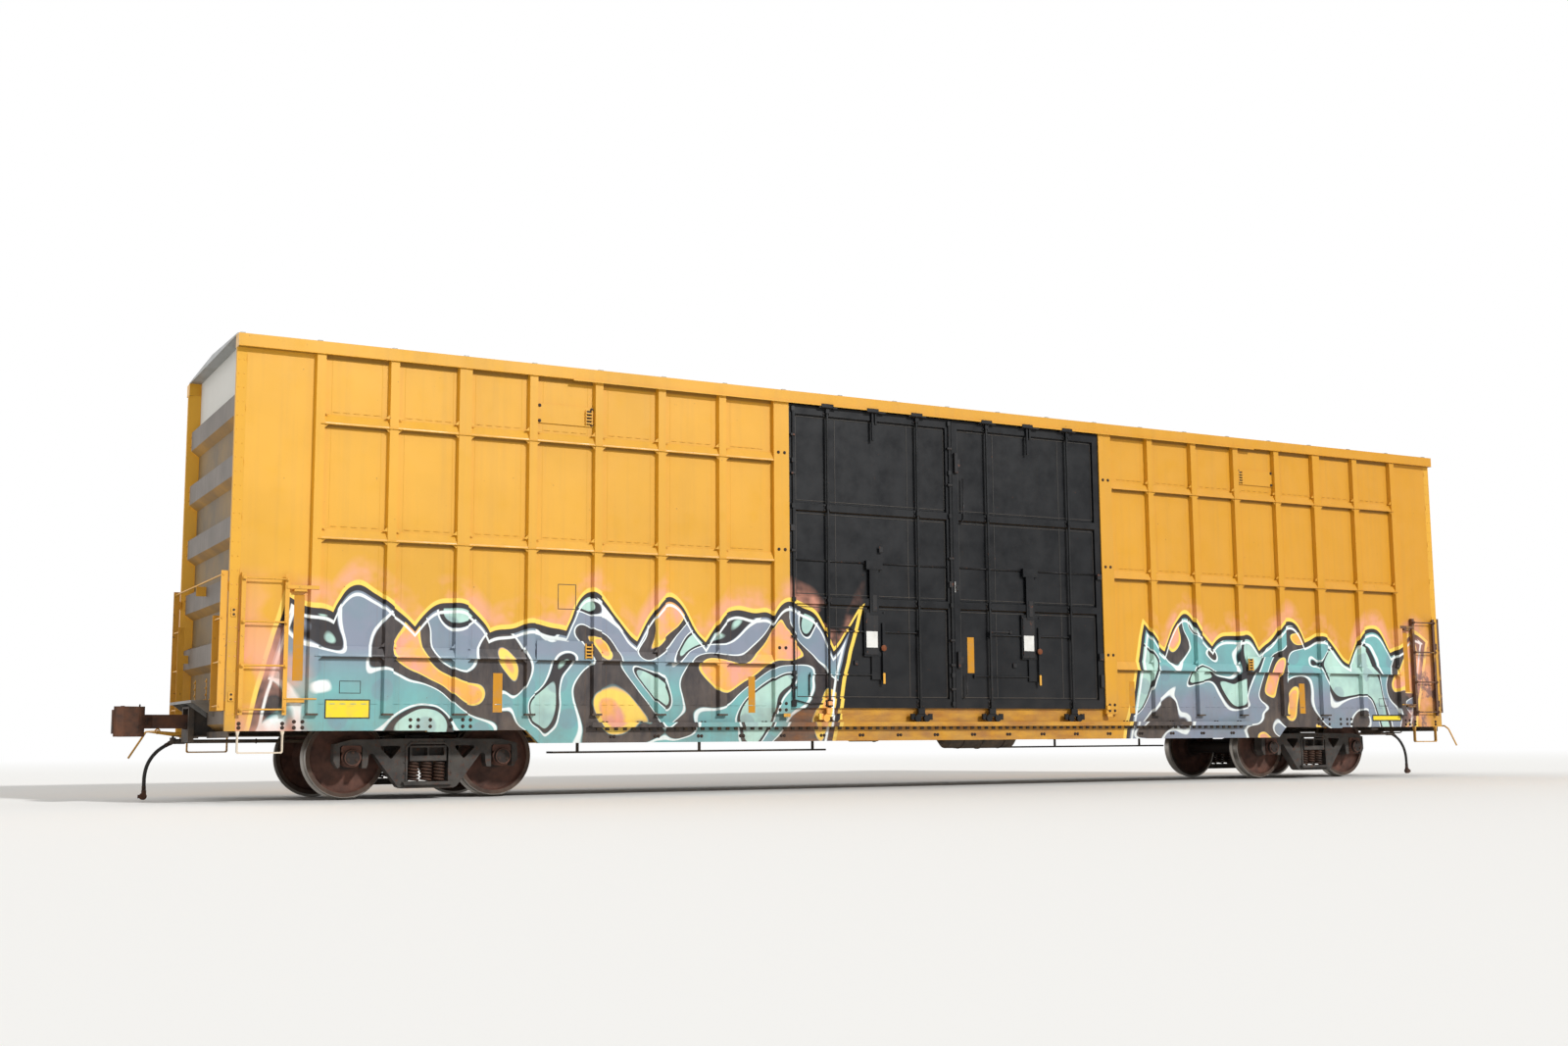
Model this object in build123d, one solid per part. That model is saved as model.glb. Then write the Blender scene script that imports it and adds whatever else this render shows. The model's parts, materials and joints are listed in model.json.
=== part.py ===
"""Sixty-foot high-cube railroad boxcar with outside posts and two plug doors on each side.

Millimetres, +X along the car, +Z up. The origin is under the middle of the car, at the height of
the wheel flanges' lowest point, so the rail head is RAIL above it. Each side and each end is made
once and then mirrored or turned.
"""
from build123d import *
import math
import os

# Wheels and trucks, all heights from the flange bottoms
RAIL = 25.4
WHEEL_R = 457.2
SEAT = 0.3
FLANGE_R = WHEEL_R + RAIL
AXLE_Z = FLANGE_R
WHEEL_BASE = 1778.0
TRUCK_X = 7048.5
RIM_BACK_Y = 678.0
RIM_WIDTH = 145.0
JOURNAL_Y = 1003.0
JOURNAL_R = 70.0
JOURNAL_PLAY = 0.5
FRAME_HALF = 75.0
CENTER_PLATE_R = 200.0
SIDE_BEARING_Y = 635.0
BEARING_R = 112.0
ADAPTER_CROWN = 22.0
PEDESTAL_JAW = 126.0
PEDESTAL_LEG = 66.0
PEDESTAL_DROP = 120.0
CENTER_PLATE_UP = 660.0
SPRING_SEAT_UP = 175.0
SPRING_SEAT_DEEP = 75.0
BOLSTER_LOW_UP = 410.0
BOLSTER_TOP_UP = 585.0
BOLSTER_HALF = 215.0
WINDOW_HALF = 240.0
TOP_MEMBER = 65.0
CENTER_PLATE_Z = RAIL + CENTER_PLATE_UP
SPRING_SEAT_Z = RAIL + SPRING_SEAT_UP
BOLSTER_LOW_Z = RAIL + BOLSTER_LOW_UP
BOLSTER_TOP_Z = RAIL + BOLSTER_TOP_UP
WINDOW_TOP_Z = BOLSTER_TOP_Z + 15.0
FRAME_TOP_Z = WINDOW_TOP_Z + TOP_MEMBER
PEDESTAL_Z = AXLE_Z + BEARING_R + ADAPTER_CROWN

# Body outline
BODY_HALF = 9420.0
CORNER_FOLD = 110.0
CORNER_SEAM = BODY_HALF - CORNER_FOLD
END_RECESS = 140.0
END_PLATE_OUT = BODY_HALF - END_RECESS
END_PLATE = 22.0
INSIDE_HALF = END_PLATE_OUT - END_PLATE
INSIDE_Y = 1448.0
WALL_Y = 1540.0
POST_Y = 1600.0
CHORD_Y = 1612.0
EAVE_UP = 5100.0
ROOF_RISE = 56.0
CHORD_TALL = 152.0
FLOOR_UP = 1095.0
FLOOR_THICK = 60.0
SILL_END_UP = 755.0
SILL_MID_UP = 603.0
SILL_STEP_IN = 1178.5
SILL_PLATE = 14.0
SILL_FLANGE = 90.0
JACK_PAD_HALF = 150.0
JACK_PAD = 16.0
ROOF_EAVE_Z = RAIL + EAVE_UP
ROOF_CROWN_Z = ROOF_EAVE_Z + ROOF_RISE
CHORD_BOTTOM_Z = ROOF_EAVE_Z - CHORD_TALL
FLOOR_Z = RAIL + FLOOR_UP
DECK_UNDER_Z = FLOOR_Z - FLOOR_THICK
SILL_END_Z = RAIL + SILL_END_UP
SILL_MID_Z = RAIL + SILL_MID_UP
SILL_STEP_X = TRUCK_X - SILL_STEP_IN

# Side grid: seven posts each side of the doorway and three rails between them
POST_FIRST = 3485.0
POST_COUNT = 7
LAST_POST_INSET = 800.0
POST_PITCH = (CORNER_SEAM - LAST_POST_INSET - POST_FIRST) / (POST_COUNT - 1)
POST_FACE = 100.0
WIDE_POST = 5
WIDE_FACE = 150.0
POST_FLARE = 14.0
POST_FOOT_UP = 945.0
POST_FOOT_Z = RAIL + POST_FOOT_UP
LIP_LOW_UP = 1570.0
LIP_MIDDLE_UP = 2868.0
LIP_HIGH_DROP = 942.0
RAIL_LIPS = (RAIL + LIP_LOW_UP, RAIL + LIP_MIDDLE_UP, ROOF_EAVE_Z - LIP_HIGH_DROP)
LIP_DEEP = 56.0
LIP_TALL = 118.0
JAMB_IN = 2535.0
JAMB_OUT = 2755.0

# Doors and their tracks
DOOR_GAP = 8.0
DOOR_BOTTOM_UP = 1020.0
DOOR_BOTTOM_Z = RAIL + DOOR_BOTTOM_UP
DOOR_TOP_GAP = 22.0
DOOR_TOP_Z = CHORD_BOTTOM_Z - DOOR_TOP_GAP
DOOR_SKIN_Y = 1548.0
DOOR_INNER_Y = INSIDE_Y + 2.0
DOOR_FRAME_Y = 1580.0
DOOR_FRAME = 95.0
BEAM_LOW_UP = 2395.0
BEAM_HIGH_UP = 3600.0
DOOR_BEAMS = (RAIL + BEAM_LOW_UP, RAIL + BEAM_HIGH_UP)
BEAM_TALL = 120.0
ROD_R = 17.0
ROD_OFFSET = 695.0
SLIM_ROD_R = 11.0
ROLLER_R = 46.0
ROLLER_TALL = 104.0
HOOD_HALF = 5510.0
HOOD_Y = 1640.0
LEDGE_HALF = 5240.0
LEDGE_UP = 842.0
LEDGE_Z = RAIL + LEDGE_UP

# Center sill, draft gear and couplers
SILL_IN = 165.0
SILL_WEB = 14.0
SILL_FOOT = 110.0
SILL_BOTTOM_UP = 700.0
SILL_BOTTOM_Z = RAIL + SILL_BOTTOM_UP
STRIKER_OUT = 145.0
STRIKER_X = BODY_HALF + STRIKER_OUT
COUPLER_UP = 876.0
COUPLER_Z = RAIL + COUPLER_UP
PIN_INSET = 615.0
COUPLER_PIN_X = STRIKER_X - PIN_INSET
COUPLER_PIN_R = 42.0
COUPLER_REACH = 785.0
PULLING_FACE_X = STRIKER_X + COUPLER_REACH
SHANK_HALF_Y = 62.0
SHANK_HALF_Z = 78.0


def outline(points):
    """Face from a closed run of straight edges."""
    return make_face(Polyline(*points, close=True))


def rounded(points, radius):
    """Face from a closed run of straight edges, with its corners rounded."""
    face = outline(points)
    return fillet(face.vertices(), radius)


def along_x(points_yz, x0, x1):
    """Solid whose YZ outline runs from x0 to x1."""
    return Pos(x0, 0, 0) * extrude(Plane.YZ * outline(points_yz), amount=x1 - x0)


def along_y(points_xz, y0, y1):
    """Solid whose XZ outline runs from y0 to y1."""
    return Pos(0, y1, 0) * extrude(Plane.XZ * outline(points_xz), amount=y1 - y0)


def along_z(points_xy, z0, z1):
    """Solid whose XY outline runs from z0 to z1."""
    return Pos(0, 0, z0) * extrude(outline(points_xy), amount=z1 - z0)


def block(x0, x1, y0, y1, z0, z1):
    """Box between two corners."""
    return Pos(x0, y0, z0) * Box(x1 - x0, y1 - y0, z1 - z0, align=(Align.MIN,) * 3)


def rod_x(radius, x0, x1, y, z):
    return Pos(x0, y, z) * extrude(Plane.YZ * Circle(radius), amount=x1 - x0)


def rod_y(radius, x, y0, y1, z):
    return Pos(x, y1, z) * extrude(Plane.XZ * Circle(radius), amount=y1 - y0)


def rod_z(radius, x, y, z0, z1):
    return Pos(x, y, z0) * extrude(Circle(radius), amount=z1 - z0)


def bar(points, radius):
    """Round bar bent through the points, with small bends."""
    path = FilletPolyline(*points, radius=radius * 1.6)
    section = Plane(path @ 0, z_dir=path % 0) * Circle(radius)
    return sweep(section, path=path)


def left_right(solid):
    """The solid and its mirror image on the other side of the car."""
    return [solid, mirror(solid, about=Plane.XZ)]


def both_ends(solid):
    """The solid and its mirror image at the other end of the car."""
    return [solid, mirror(solid, about=Plane.YZ)]


def turned(solid):
    """The solid at the other end of the car, turned half round about the car's middle."""
    return Rot(0, 0, 180) * solid


def four_corners(solid):
    return [corner for half in left_right(solid) for corner in both_ends(half)]


# Sides

def side_panel():
    """Steel sheet, inner posts and lining of a quarter of the side, from doorway to corner."""
    return block(JAMB_OUT + SEAT, CORNER_SEAM, -WALL_Y, -INSIDE_Y - SEAT, FLOOR_Z + SEAT, CHORD_BOTTOM_Z - SEAT)


def post_profile(x, face):
    """Outline of a hat post seen from above: a flat face with slightly flared flanks."""
    half = face / 2
    return [(x - half - POST_FLARE, -WALL_Y - SEAT), (x + half + POST_FLARE, -WALL_Y - SEAT),
            (x + half, -POST_Y), (x - half, -POST_Y)]


def side_grid():
    """Outside posts of a quarter of the side with the three lipped rails welded between them."""
    top = CHORD_BOTTOM_Z - SEAT
    back = -WALL_Y - SEAT
    grid = None
    for number in range(1, POST_COUNT + 1):
        face = WIDE_FACE if number == WIDE_POST else POST_FACE
        x = POST_FIRST + (number - 1) * POST_PITCH
        post = along_z(post_profile(x, face), POST_FOOT_Z, top)
        grid = post if grid is None else grid + post
    last = POST_FIRST + (POST_COUNT - 1) * POST_PITCH
    for lip in RAIL_LIPS:
        section = [(back, lip), (back - LIP_DEEP, lip), (back - LIP_DEEP + 4, lip + 24),
                   (back - 8, lip + LIP_TALL), (back, lip + LIP_TALL)]
        grid += along_x(section, JAMB_OUT + SEAT, last)
    return grid


def door_post():
    """Deep post at the edge of the doorway, the full thickness of the wall above the floor."""
    top = CHORD_BOTTOM_Z - SEAT
    face = block(JAMB_IN, JAMB_OUT, -POST_Y, -WALL_Y - SEAT, POST_FOOT_Z, top)
    return face + block(JAMB_IN, JAMB_OUT, -WALL_Y - 1, -INSIDE_Y - SEAT, FLOOR_Z + SEAT, top)


def top_chord():
    """Eave fascia with its turned lip and the top leg that carries the roof."""
    section = [(-CHORD_Y, CHORD_BOTTOM_Z + 6), (-CHORD_Y - 10, CHORD_BOTTOM_Z), (-CHORD_Y + 2, CHORD_BOTTOM_Z),
               (-INSIDE_Y, CHORD_BOTTOM_Z), (-INSIDE_Y, ROOF_EAVE_Z), (-CHORD_Y, ROOF_EAVE_Z - 8)]
    return along_x(section, -BODY_HALF, BODY_HALF)


def side_sill():
    """Fish-belly side sill: an outer plate, deeper between the trucks, with a bottom flange and jack pads."""
    top = FLOOR_Z
    run = 150.0
    deep = [(-CORNER_SEAM, top), (-CORNER_SEAM, SILL_END_Z), (-SILL_STEP_X - run, SILL_END_Z),
            (-SILL_STEP_X, SILL_MID_Z), (SILL_STEP_X, SILL_MID_Z), (SILL_STEP_X + run, SILL_END_Z),
            (CORNER_SEAM, SILL_END_Z), (CORNER_SEAM, top)]
    hollow = [(-CORNER_SEAM - 1, top + 1), (-CORNER_SEAM - 1, SILL_END_Z + SILL_PLATE),
              (-SILL_STEP_X - run + 6, SILL_END_Z + SILL_PLATE), (-SILL_STEP_X + 6, SILL_MID_Z + SILL_PLATE),
              (SILL_STEP_X - 6, SILL_MID_Z + SILL_PLATE), (SILL_STEP_X + run - 6, SILL_END_Z + SILL_PLATE),
              (CORNER_SEAM + 1, SILL_END_Z + SILL_PLATE), (CORNER_SEAM + 1, top + 1)]
    inside = -WALL_Y + SILL_FLANGE
    sill = along_y(deep, -WALL_Y, inside) - along_y(hollow, -WALL_Y + SILL_PLATE, inside + 1)
    for x in (-TRUCK_X, TRUCK_X):
        sill += block(x - JACK_PAD_HALF, x + JACK_PAD_HALF, -WALL_Y, inside, SILL_END_Z - JACK_PAD, SILL_END_Z)
    return sill


# Doors

def rod_strap(x, z):
    """Strap that holds a door rod against the door's frame."""
    room = ROD_R + 1
    side = room + 9
    back = -DOOR_FRAME_Y + 1
    front = -DOOR_FRAME_Y - 2 * room
    return along_z([(x - side, back), (x - side, front - 7), (x + side, front - 7), (x + side, back),
                    (x + room, back), (x + room, front), (x - room, front), (x - room, back)], z - 26, z + 26)


def plug_door(x0, x1):
    """Plug door between x0 and x1: a thick panel, raised edge frame and two bevelled beams."""
    door = block(x0, x1, -DOOR_SKIN_Y, -WALL_Y - SEAT, DOOR_BOTTOM_Z, DOOR_TOP_Z)
    door += block(x0, x1, -WALL_Y - 1, -DOOR_INNER_Y, FLOOR_Z + SEAT, DOOR_TOP_Z)
    rim = block(x0, x1, -DOOR_FRAME_Y, -DOOR_SKIN_Y, DOOR_BOTTOM_Z, DOOR_TOP_Z)
    rim -= block(x0 + DOOR_FRAME, x1 - DOOR_FRAME, -DOOR_FRAME_Y - 1, -DOOR_SKIN_Y + 1,
                 DOOR_BOTTOM_Z + BEAM_TALL, DOOR_TOP_Z - BEAM_TALL)
    door += rim
    for z in DOOR_BEAMS:
        section = [(-DOOR_SKIN_Y, z - BEAM_TALL / 2), (-DOOR_FRAME_Y, z - BEAM_TALL / 2 + 14),
                   (-DOOR_FRAME_Y, z + BEAM_TALL / 2 - 14), (-DOOR_SKIN_Y, z + BEAM_TALL / 2)]
        door += along_x(section, x0 + DOOR_FRAME, x1 - DOOR_FRAME)
    levels = (DOOR_BOTTOM_Z + BEAM_TALL / 2,) + DOOR_BEAMS + (DOOR_TOP_Z - BEAM_TALL / 2,)
    return door + [rod_strap(JAMB_IN / 2 + offset, z) for offset in (-ROD_OFFSET, ROD_OFFSET) for z in levels]


def door_hood():
    """Upper track hood under the eave, a long angle that the door rods' hangers run in."""
    top = CHORD_BOTTOM_Z - SEAT
    section = [(-POST_Y - SEAT, top), (-HOOD_Y, top), (-HOOD_Y, top - 18), (-HOOD_Y + 6, top - 18),
               (-HOOD_Y + 6, top - 6), (-POST_Y - SEAT, top - 6)]
    return along_x(section, -HOOD_HALF, HOOD_HALF)


def door_ledge():
    """Lower door rail: a ledge on the deep sill with a turned-up running edge."""
    back = -WALL_Y - SEAT
    section = [(back, LEDGE_Z - 60), (-HOOD_Y + 6, LEDGE_Z - 60), (-HOOD_Y, LEDGE_Z - 54), (-HOOD_Y, LEDGE_Z),
               (-HOOD_Y + 14, LEDGE_Z), (-HOOD_Y + 14, LEDGE_Z - 40), (back, LEDGE_Z - 40)]
    return along_x(section, -LEDGE_HALF, LEDGE_HALF)


# Roof and ends

def roof():
    """Shallow gabled roof sheet with a raised cap over each seam."""
    sheet = 14.0
    eave = INSIDE_Y - 1
    z0 = ROOF_EAVE_Z + SEAT
    section = [(-eave - 60, z0), (eave + 60, z0), (eave + 60, z0 + sheet), (0, ROOF_CROWN_Z + sheet),
               (-eave - 60, z0 + sheet)]
    inner = [(-eave + 30, z0 - 1), (eave - 30, z0 - 1), (0, ROOF_CROWN_Z - 2)]
    shell = along_x(section, -BODY_HALF + 4, BODY_HALF - 4) - along_x(inner, -INSIDE_HALF, INSIDE_HALF)
    count = 22
    pitch = 2 * (BODY_HALF - 60) / count
    cap = 16.0
    for number in range(count + 1):
        x = -BODY_HALF + 60 + number * pitch
        rise = [(-eave - 70, z0 + sheet - 6), (eave + 70, z0 + sheet - 6), (eave + 70, z0 + sheet + cap - 6),
                (0, ROOF_CROWN_Z + sheet + cap), (-eave - 70, z0 + sheet + cap - 6)]
        shell += along_x(rise, x - 28, x + 28)
    slope = math.degrees(math.atan2(ROOF_RISE, eave + 60))
    panels = []
    for number in range(count):
        x = -BODY_HALF + 60 + (number + 0.5) * pitch
        for side in (-1, 1):
            middle = Pos(x, side * eave / 2, (z0 + ROOF_CROWN_Z) / 2 + sheet - 1) * Rot(-side * slope, 0, 0)
            panels.append(middle * extrude(Rectangle(pitch - 260, eave - 330), amount=16, taper=50))
    return shell + panels


RIB_COUNT = 6
RIB_FIRST_DROP = 630.0
RIB_LAST_UP = 1070.0
RIB_PITCH = (EAVE_UP - RIB_FIRST_DROP - RIB_LAST_UP) / (RIB_COUNT - 1)
RIB_TOPS = [ROOF_EAVE_Z - RIB_FIRST_DROP - RIB_PITCH * number for number in range(RIB_COUNT)]
RIB_FACE = 235.0
RIB_DEEP = 96.0
RIB_SLOPE_TOP = 45.0
RIB_SLOPE_LOW = 72.0


def end_wall():
    """Corrugated end: six wide pressed ribs across the plate, with a folded post at each corner."""
    x = END_PLATE_OUT
    plate = [(x - END_PLATE, SILL_END_Z), (x - END_PLATE, ROOF_EAVE_Z), (x, ROOF_EAVE_Z)]
    for top in RIB_TOPS:
        plate += [(x, top + RIB_SLOPE_TOP), (x + RIB_DEEP, top), (x + RIB_DEEP, top - RIB_FACE),
                  (x, top - RIB_FACE - RIB_SLOPE_LOW)]
    plate.append((x, SILL_END_Z))
    wall = along_y(plate, -INSIDE_Y, INSIDE_Y)
    for side in (-1, 1):
        inner = side * INSIDE_Y
        outer = side * WALL_Y
        lap = inner - side * 24
        fold = side * (WALL_Y - 60)
        corner = [(x - END_PLATE, lap), (x - END_PLATE, inner), (CORNER_SEAM + SEAT, inner),
                  (CORNER_SEAM + SEAT, outer), (BODY_HALF, outer), (BODY_HALF, fold), (x + 4, lap)]
        wall += along_z(corner, SILL_END_Z, CHORD_BOTTOM_Z - SEAT)
    beside = SILL_IN + SILL_WEB + SILL_FOOT + SEAT
    return wall - block(x - 100, x + 200, -beside, beside, SILL_END_Z - 1, DECK_UNDER_Z + 10)


# Underframe

def center_sill():
    """Box center sill, open below, with outward feet and a flared striker at each end."""
    half = SILL_IN + SILL_WEB
    foot = half + SILL_FOOT
    ledge = SILL_BOTTOM_Z + SILL_WEB
    top = DECK_UNDER_Z - SEAT
    roof_z = DECK_UNDER_Z - SILL_WEB
    section = [(-half, top), (-half, ledge), (-foot, ledge), (-foot, SILL_BOTTOM_Z), (-SILL_IN, SILL_BOTTOM_Z),
               (-SILL_IN, roof_z), (SILL_IN, roof_z), (SILL_IN, SILL_BOTTOM_Z), (foot, SILL_BOTTOM_Z),
               (foot, ledge), (half, ledge), (half, top)]
    sill = along_x(section, -STRIKER_X + 60, STRIKER_X - 60)
    for x0, x1 in ((STRIKER_X - 60, STRIKER_X), (-STRIKER_X, -STRIKER_X + 60)):
        frame = block(x0, x1, -half - 40, half + 40, SILL_BOTTOM_Z - 60, DECK_UNDER_Z + 10)
        frame -= block(x0 - 1, x1 + 1, -SILL_IN, SILL_IN, COUPLER_Z - SHANK_HALF_Z - 8, DECK_UNDER_Z - SILL_WEB)
        sill += frame
    return sill


BOLSTER_WIDE = 230.0


def body_bolster():
    """Half of a body bolster: a closed box beam from the center sill out to the side sill."""
    half = SILL_IN + SILL_WEB
    wide = BOLSTER_WIDE
    out = WALL_Y - SILL_PLATE - SEAT
    top = DECK_UNDER_Z - SEAT
    low = SILL_BOTTOM_Z + SILL_WEB + SEAT
    heel = SILL_END_Z + SILL_PLATE + SEAT
    section = [(-half - SEAT, top), (-out, top), (-out, heel), (-WALL_Y + SILL_FLANGE + 10, heel),
               (-1150, low + 36), (-half - SILL_FOOT, low), (-half - SEAT, low)]
    return along_x(section, TRUCK_X - wide, TRUCK_X + wide)


CROSSBEARERS = (0.0, 1675.0, 3350.0, 5025.0)
BEARER_RISE = 90.0


def crossbearer(x):
    """Half of a crossbearer: an I beam that tapers from the center sill to the side sill."""
    half = SILL_IN + SILL_WEB
    out = WALL_Y - SILL_PLATE - SEAT
    inner = -half - SEAT
    top = DECK_UNDER_Z - SEAT
    low = SILL_BOTTOM_Z + SILL_WEB + SEAT
    rise = BEARER_RISE
    web = along_x([(inner, top), (-out, top), (-out, low + rise), (inner, low)], x - 6, x + 6)
    foot = along_x([(inner, low), (inner, low + 12), (-out, low + rise + 12), (-out, low + rise)], x - 75, x + 75)
    head = block(x - 75, x + 75, -out, inner, top - 12, top)
    return web + foot + head


STRINGER_YS = (430.0, 1060.0)
STRINGER_TALL = 76.0
STRINGER_WIDE = 50.0


def stringers():
    """Floor stringers: channels under the deck, in lengths between the crossbearers, bolsters and ends."""
    stops = [(x - 75 - SEAT, x + 75 + SEAT) for x in CROSSBEARERS]
    stops.append((TRUCK_X - BOLSTER_WIDE - SEAT, TRUCK_X + BOLSTER_WIDE + SEAT))
    stops.append((INSIDE_HALF - 20, INSIDE_HALF))
    top = DECK_UNDER_Z + 1
    low = DECK_UNDER_Z - STRINGER_TALL
    rails = []
    for y in STRINGER_YS:
        wide = y + STRINGER_WIDE
        section = [(y, top), (wide, top), (wide, top - 9), (y + 7, top - 9), (y + 7, low + 7), (wide, low + 7),
                   (wide, low), (y, low)]
        for before, after in zip(stops, stops[1:]):
            rails += four_corners(along_x(section, before[1], after[0]))
    return rails


def center_plate():
    """Body center plate with its king pin, which drops into the truck bolster's bowl."""
    plate = rod_z(CENTER_PLATE_R, TRUCK_X, 0, CENTER_PLATE_Z + SEAT, SILL_BOTTOM_Z - SEAT)
    plate += block(TRUCK_X - 200, TRUCK_X + 200, -SILL_IN - SILL_FOOT, SILL_IN + SILL_FOOT, SILL_BOTTOM_Z - 12,
                   SILL_BOTTOM_Z - SEAT)
    return plate + rod_z(24, TRUCK_X, 0, CENTER_PLATE_Z - 120, CENTER_PLATE_Z + 1)


def draft_yoke():
    """Draft gear block in the sill, with the two lugs and the pin that the coupler swings on."""
    x = COUPLER_PIN_X
    low = SILL_BOTTOM_Z + 4
    top = DECK_UNDER_Z - SILL_WEB - SEAT
    gear = block(x - 620, x - 130, -SILL_IN + 8, SILL_IN - 8, low, top)
    for z0, z1 in ((low, COUPLER_Z - SHANK_HALF_Z - 6), (COUPLER_Z + SHANK_HALF_Z + 6, top)):
        gear += block(x - 131, x + 90, -120, 120, z0, z1)
    return gear + rod_z(COUPLER_PIN_R, x, 0, low, top)


# Couplers

HEAD_X = PULLING_FACE_X - 330.0
HEAD_HALF_Z = 168.0
KNUCKLE_X = PULLING_FACE_X - 122.0
KNUCKLE_Y = -105.0
KNUCKLE_HALF_Z = 134.0
KNUCKLE_GAP = 7.0
KNUCKLE_HUB_R = 46.0
KNUCKLE_PIN_R = 21.0
PIN_PLAY = 0.6


def coupler():
    """Coupler shank and cast head with its guard arm, hinge lugs and the pin for the knuckle."""
    x = COUPLER_PIN_X
    shank = along_z([(x, -SHANK_HALF_Y), (HEAD_X - 90, -SHANK_HALF_Y), (HEAD_X, -110), (HEAD_X + 60, -150),
                     (HEAD_X + 60, 150), (HEAD_X, 110), (HEAD_X - 90, SHANK_HALF_Y), (x, SHANK_HALF_Y)],
                    COUPLER_Z - SHANK_HALF_Z, COUPLER_Z + SHANK_HALF_Z)
    shank += rod_z(SHANK_HALF_Y + 24, x, 0, COUPLER_Z - SHANK_HALF_Z, COUPLER_Z + SHANK_HALF_Z)
    shank -= rod_z(COUPLER_PIN_R + PIN_PLAY, x, 0, COUPLER_Z - 200, COUPLER_Z + 200)
    low = COUPLER_Z - HEAD_HALF_Z
    top = COUPLER_Z + HEAD_HALF_Z
    face = PULLING_FACE_X
    back = KNUCKLE_X - KNUCKLE_HUB_R - KNUCKLE_GAP
    head = along_z([(HEAD_X, -110), (HEAD_X + 90, -172), (back, -172), (back, 30), (KNUCKLE_X + 10, 95),
                    (face - 30, 165), (face + 14, 218), (face - 8, 236), (face - 90, 224), (HEAD_X + 70, 150),
                    (HEAD_X, 110)], low, top)
    lugs = along_z([(back - 8, -172), (KNUCKLE_X + 20, -164), (KNUCKLE_X + 46, -130), (KNUCKLE_X + 40, -70),
                    (back - 8, -50)], low, top)
    throat = KNUCKLE_HALF_Z + KNUCKLE_GAP
    lugs -= block(back, KNUCKLE_X + 80, -300, 0, COUPLER_Z - throat, COUPLER_Z + throat)
    pin = rod_z(KNUCKLE_PIN_R, KNUCKLE_X, KNUCKLE_Y, low + 1, top + 12)
    return shank + head + lugs + pin


def knuckle():
    """Hook-shaped knuckle that swings open on its pin, with the pulling face at its nose."""
    arm = [(0, -KNUCKLE_HUB_R), (60, -50), (100, -20), (122, 45), (118, 117), (82, 145), (44, 135), (42, 71),
           (20, 43), (0, KNUCKLE_HUB_R)]
    low = COUPLER_Z - KNUCKLE_HALF_Z
    top = COUPLER_Z + KNUCKLE_HALF_Z
    hook = along_z([(KNUCKLE_X + x, KNUCKLE_Y + y) for x, y in arm], low, top)
    hook += rod_z(KNUCKLE_HUB_R, KNUCKLE_X, KNUCKLE_Y, low, top)
    return hook - rod_z(KNUCKLE_PIN_R + PIN_PLAY, KNUCKLE_X, KNUCKLE_Y, low - 10, top + 10)


# Trucks, made for the +X end

def wheelset(x):
    """Two cast wheels on their axle, with the rotating end caps of the roller bearings."""
    cap = JOURNAL_Y + 97
    rows = [(0, 0), (0, cap + 42), (80, cap + 42), (94, cap + 30), (94, cap + 2), (JOURNAL_R, cap),
            (JOURNAL_R, 906), (95, 890), (95, 850), (142, 830), (142, 800), (250, 770), (385, 766), (402, 790),
            (402, RIM_BACK_Y + RIM_WIDTH),
            (WHEEL_R - 6, RIM_BACK_Y + RIM_WIDTH), (WHEEL_R, RIM_BACK_Y + RIM_WIDTH - 10), (WHEEL_R, 718),
            (FLANGE_R, 700), (FLANGE_R - 4, RIM_BACK_Y), (402, RIM_BACK_Y), (385, 700), (250, 720), (142, 690),
            (142, 640), (95, 636), (88, 400), (84, 0)]
    half = revolve(Plane.YZ * outline([(y, r) for r, y in rows]), axis=Axis.Y, revolution_arc=360)
    return Pos(x, 0, AXLE_Z) * (half + mirror(half, about=Plane.XZ))


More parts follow.
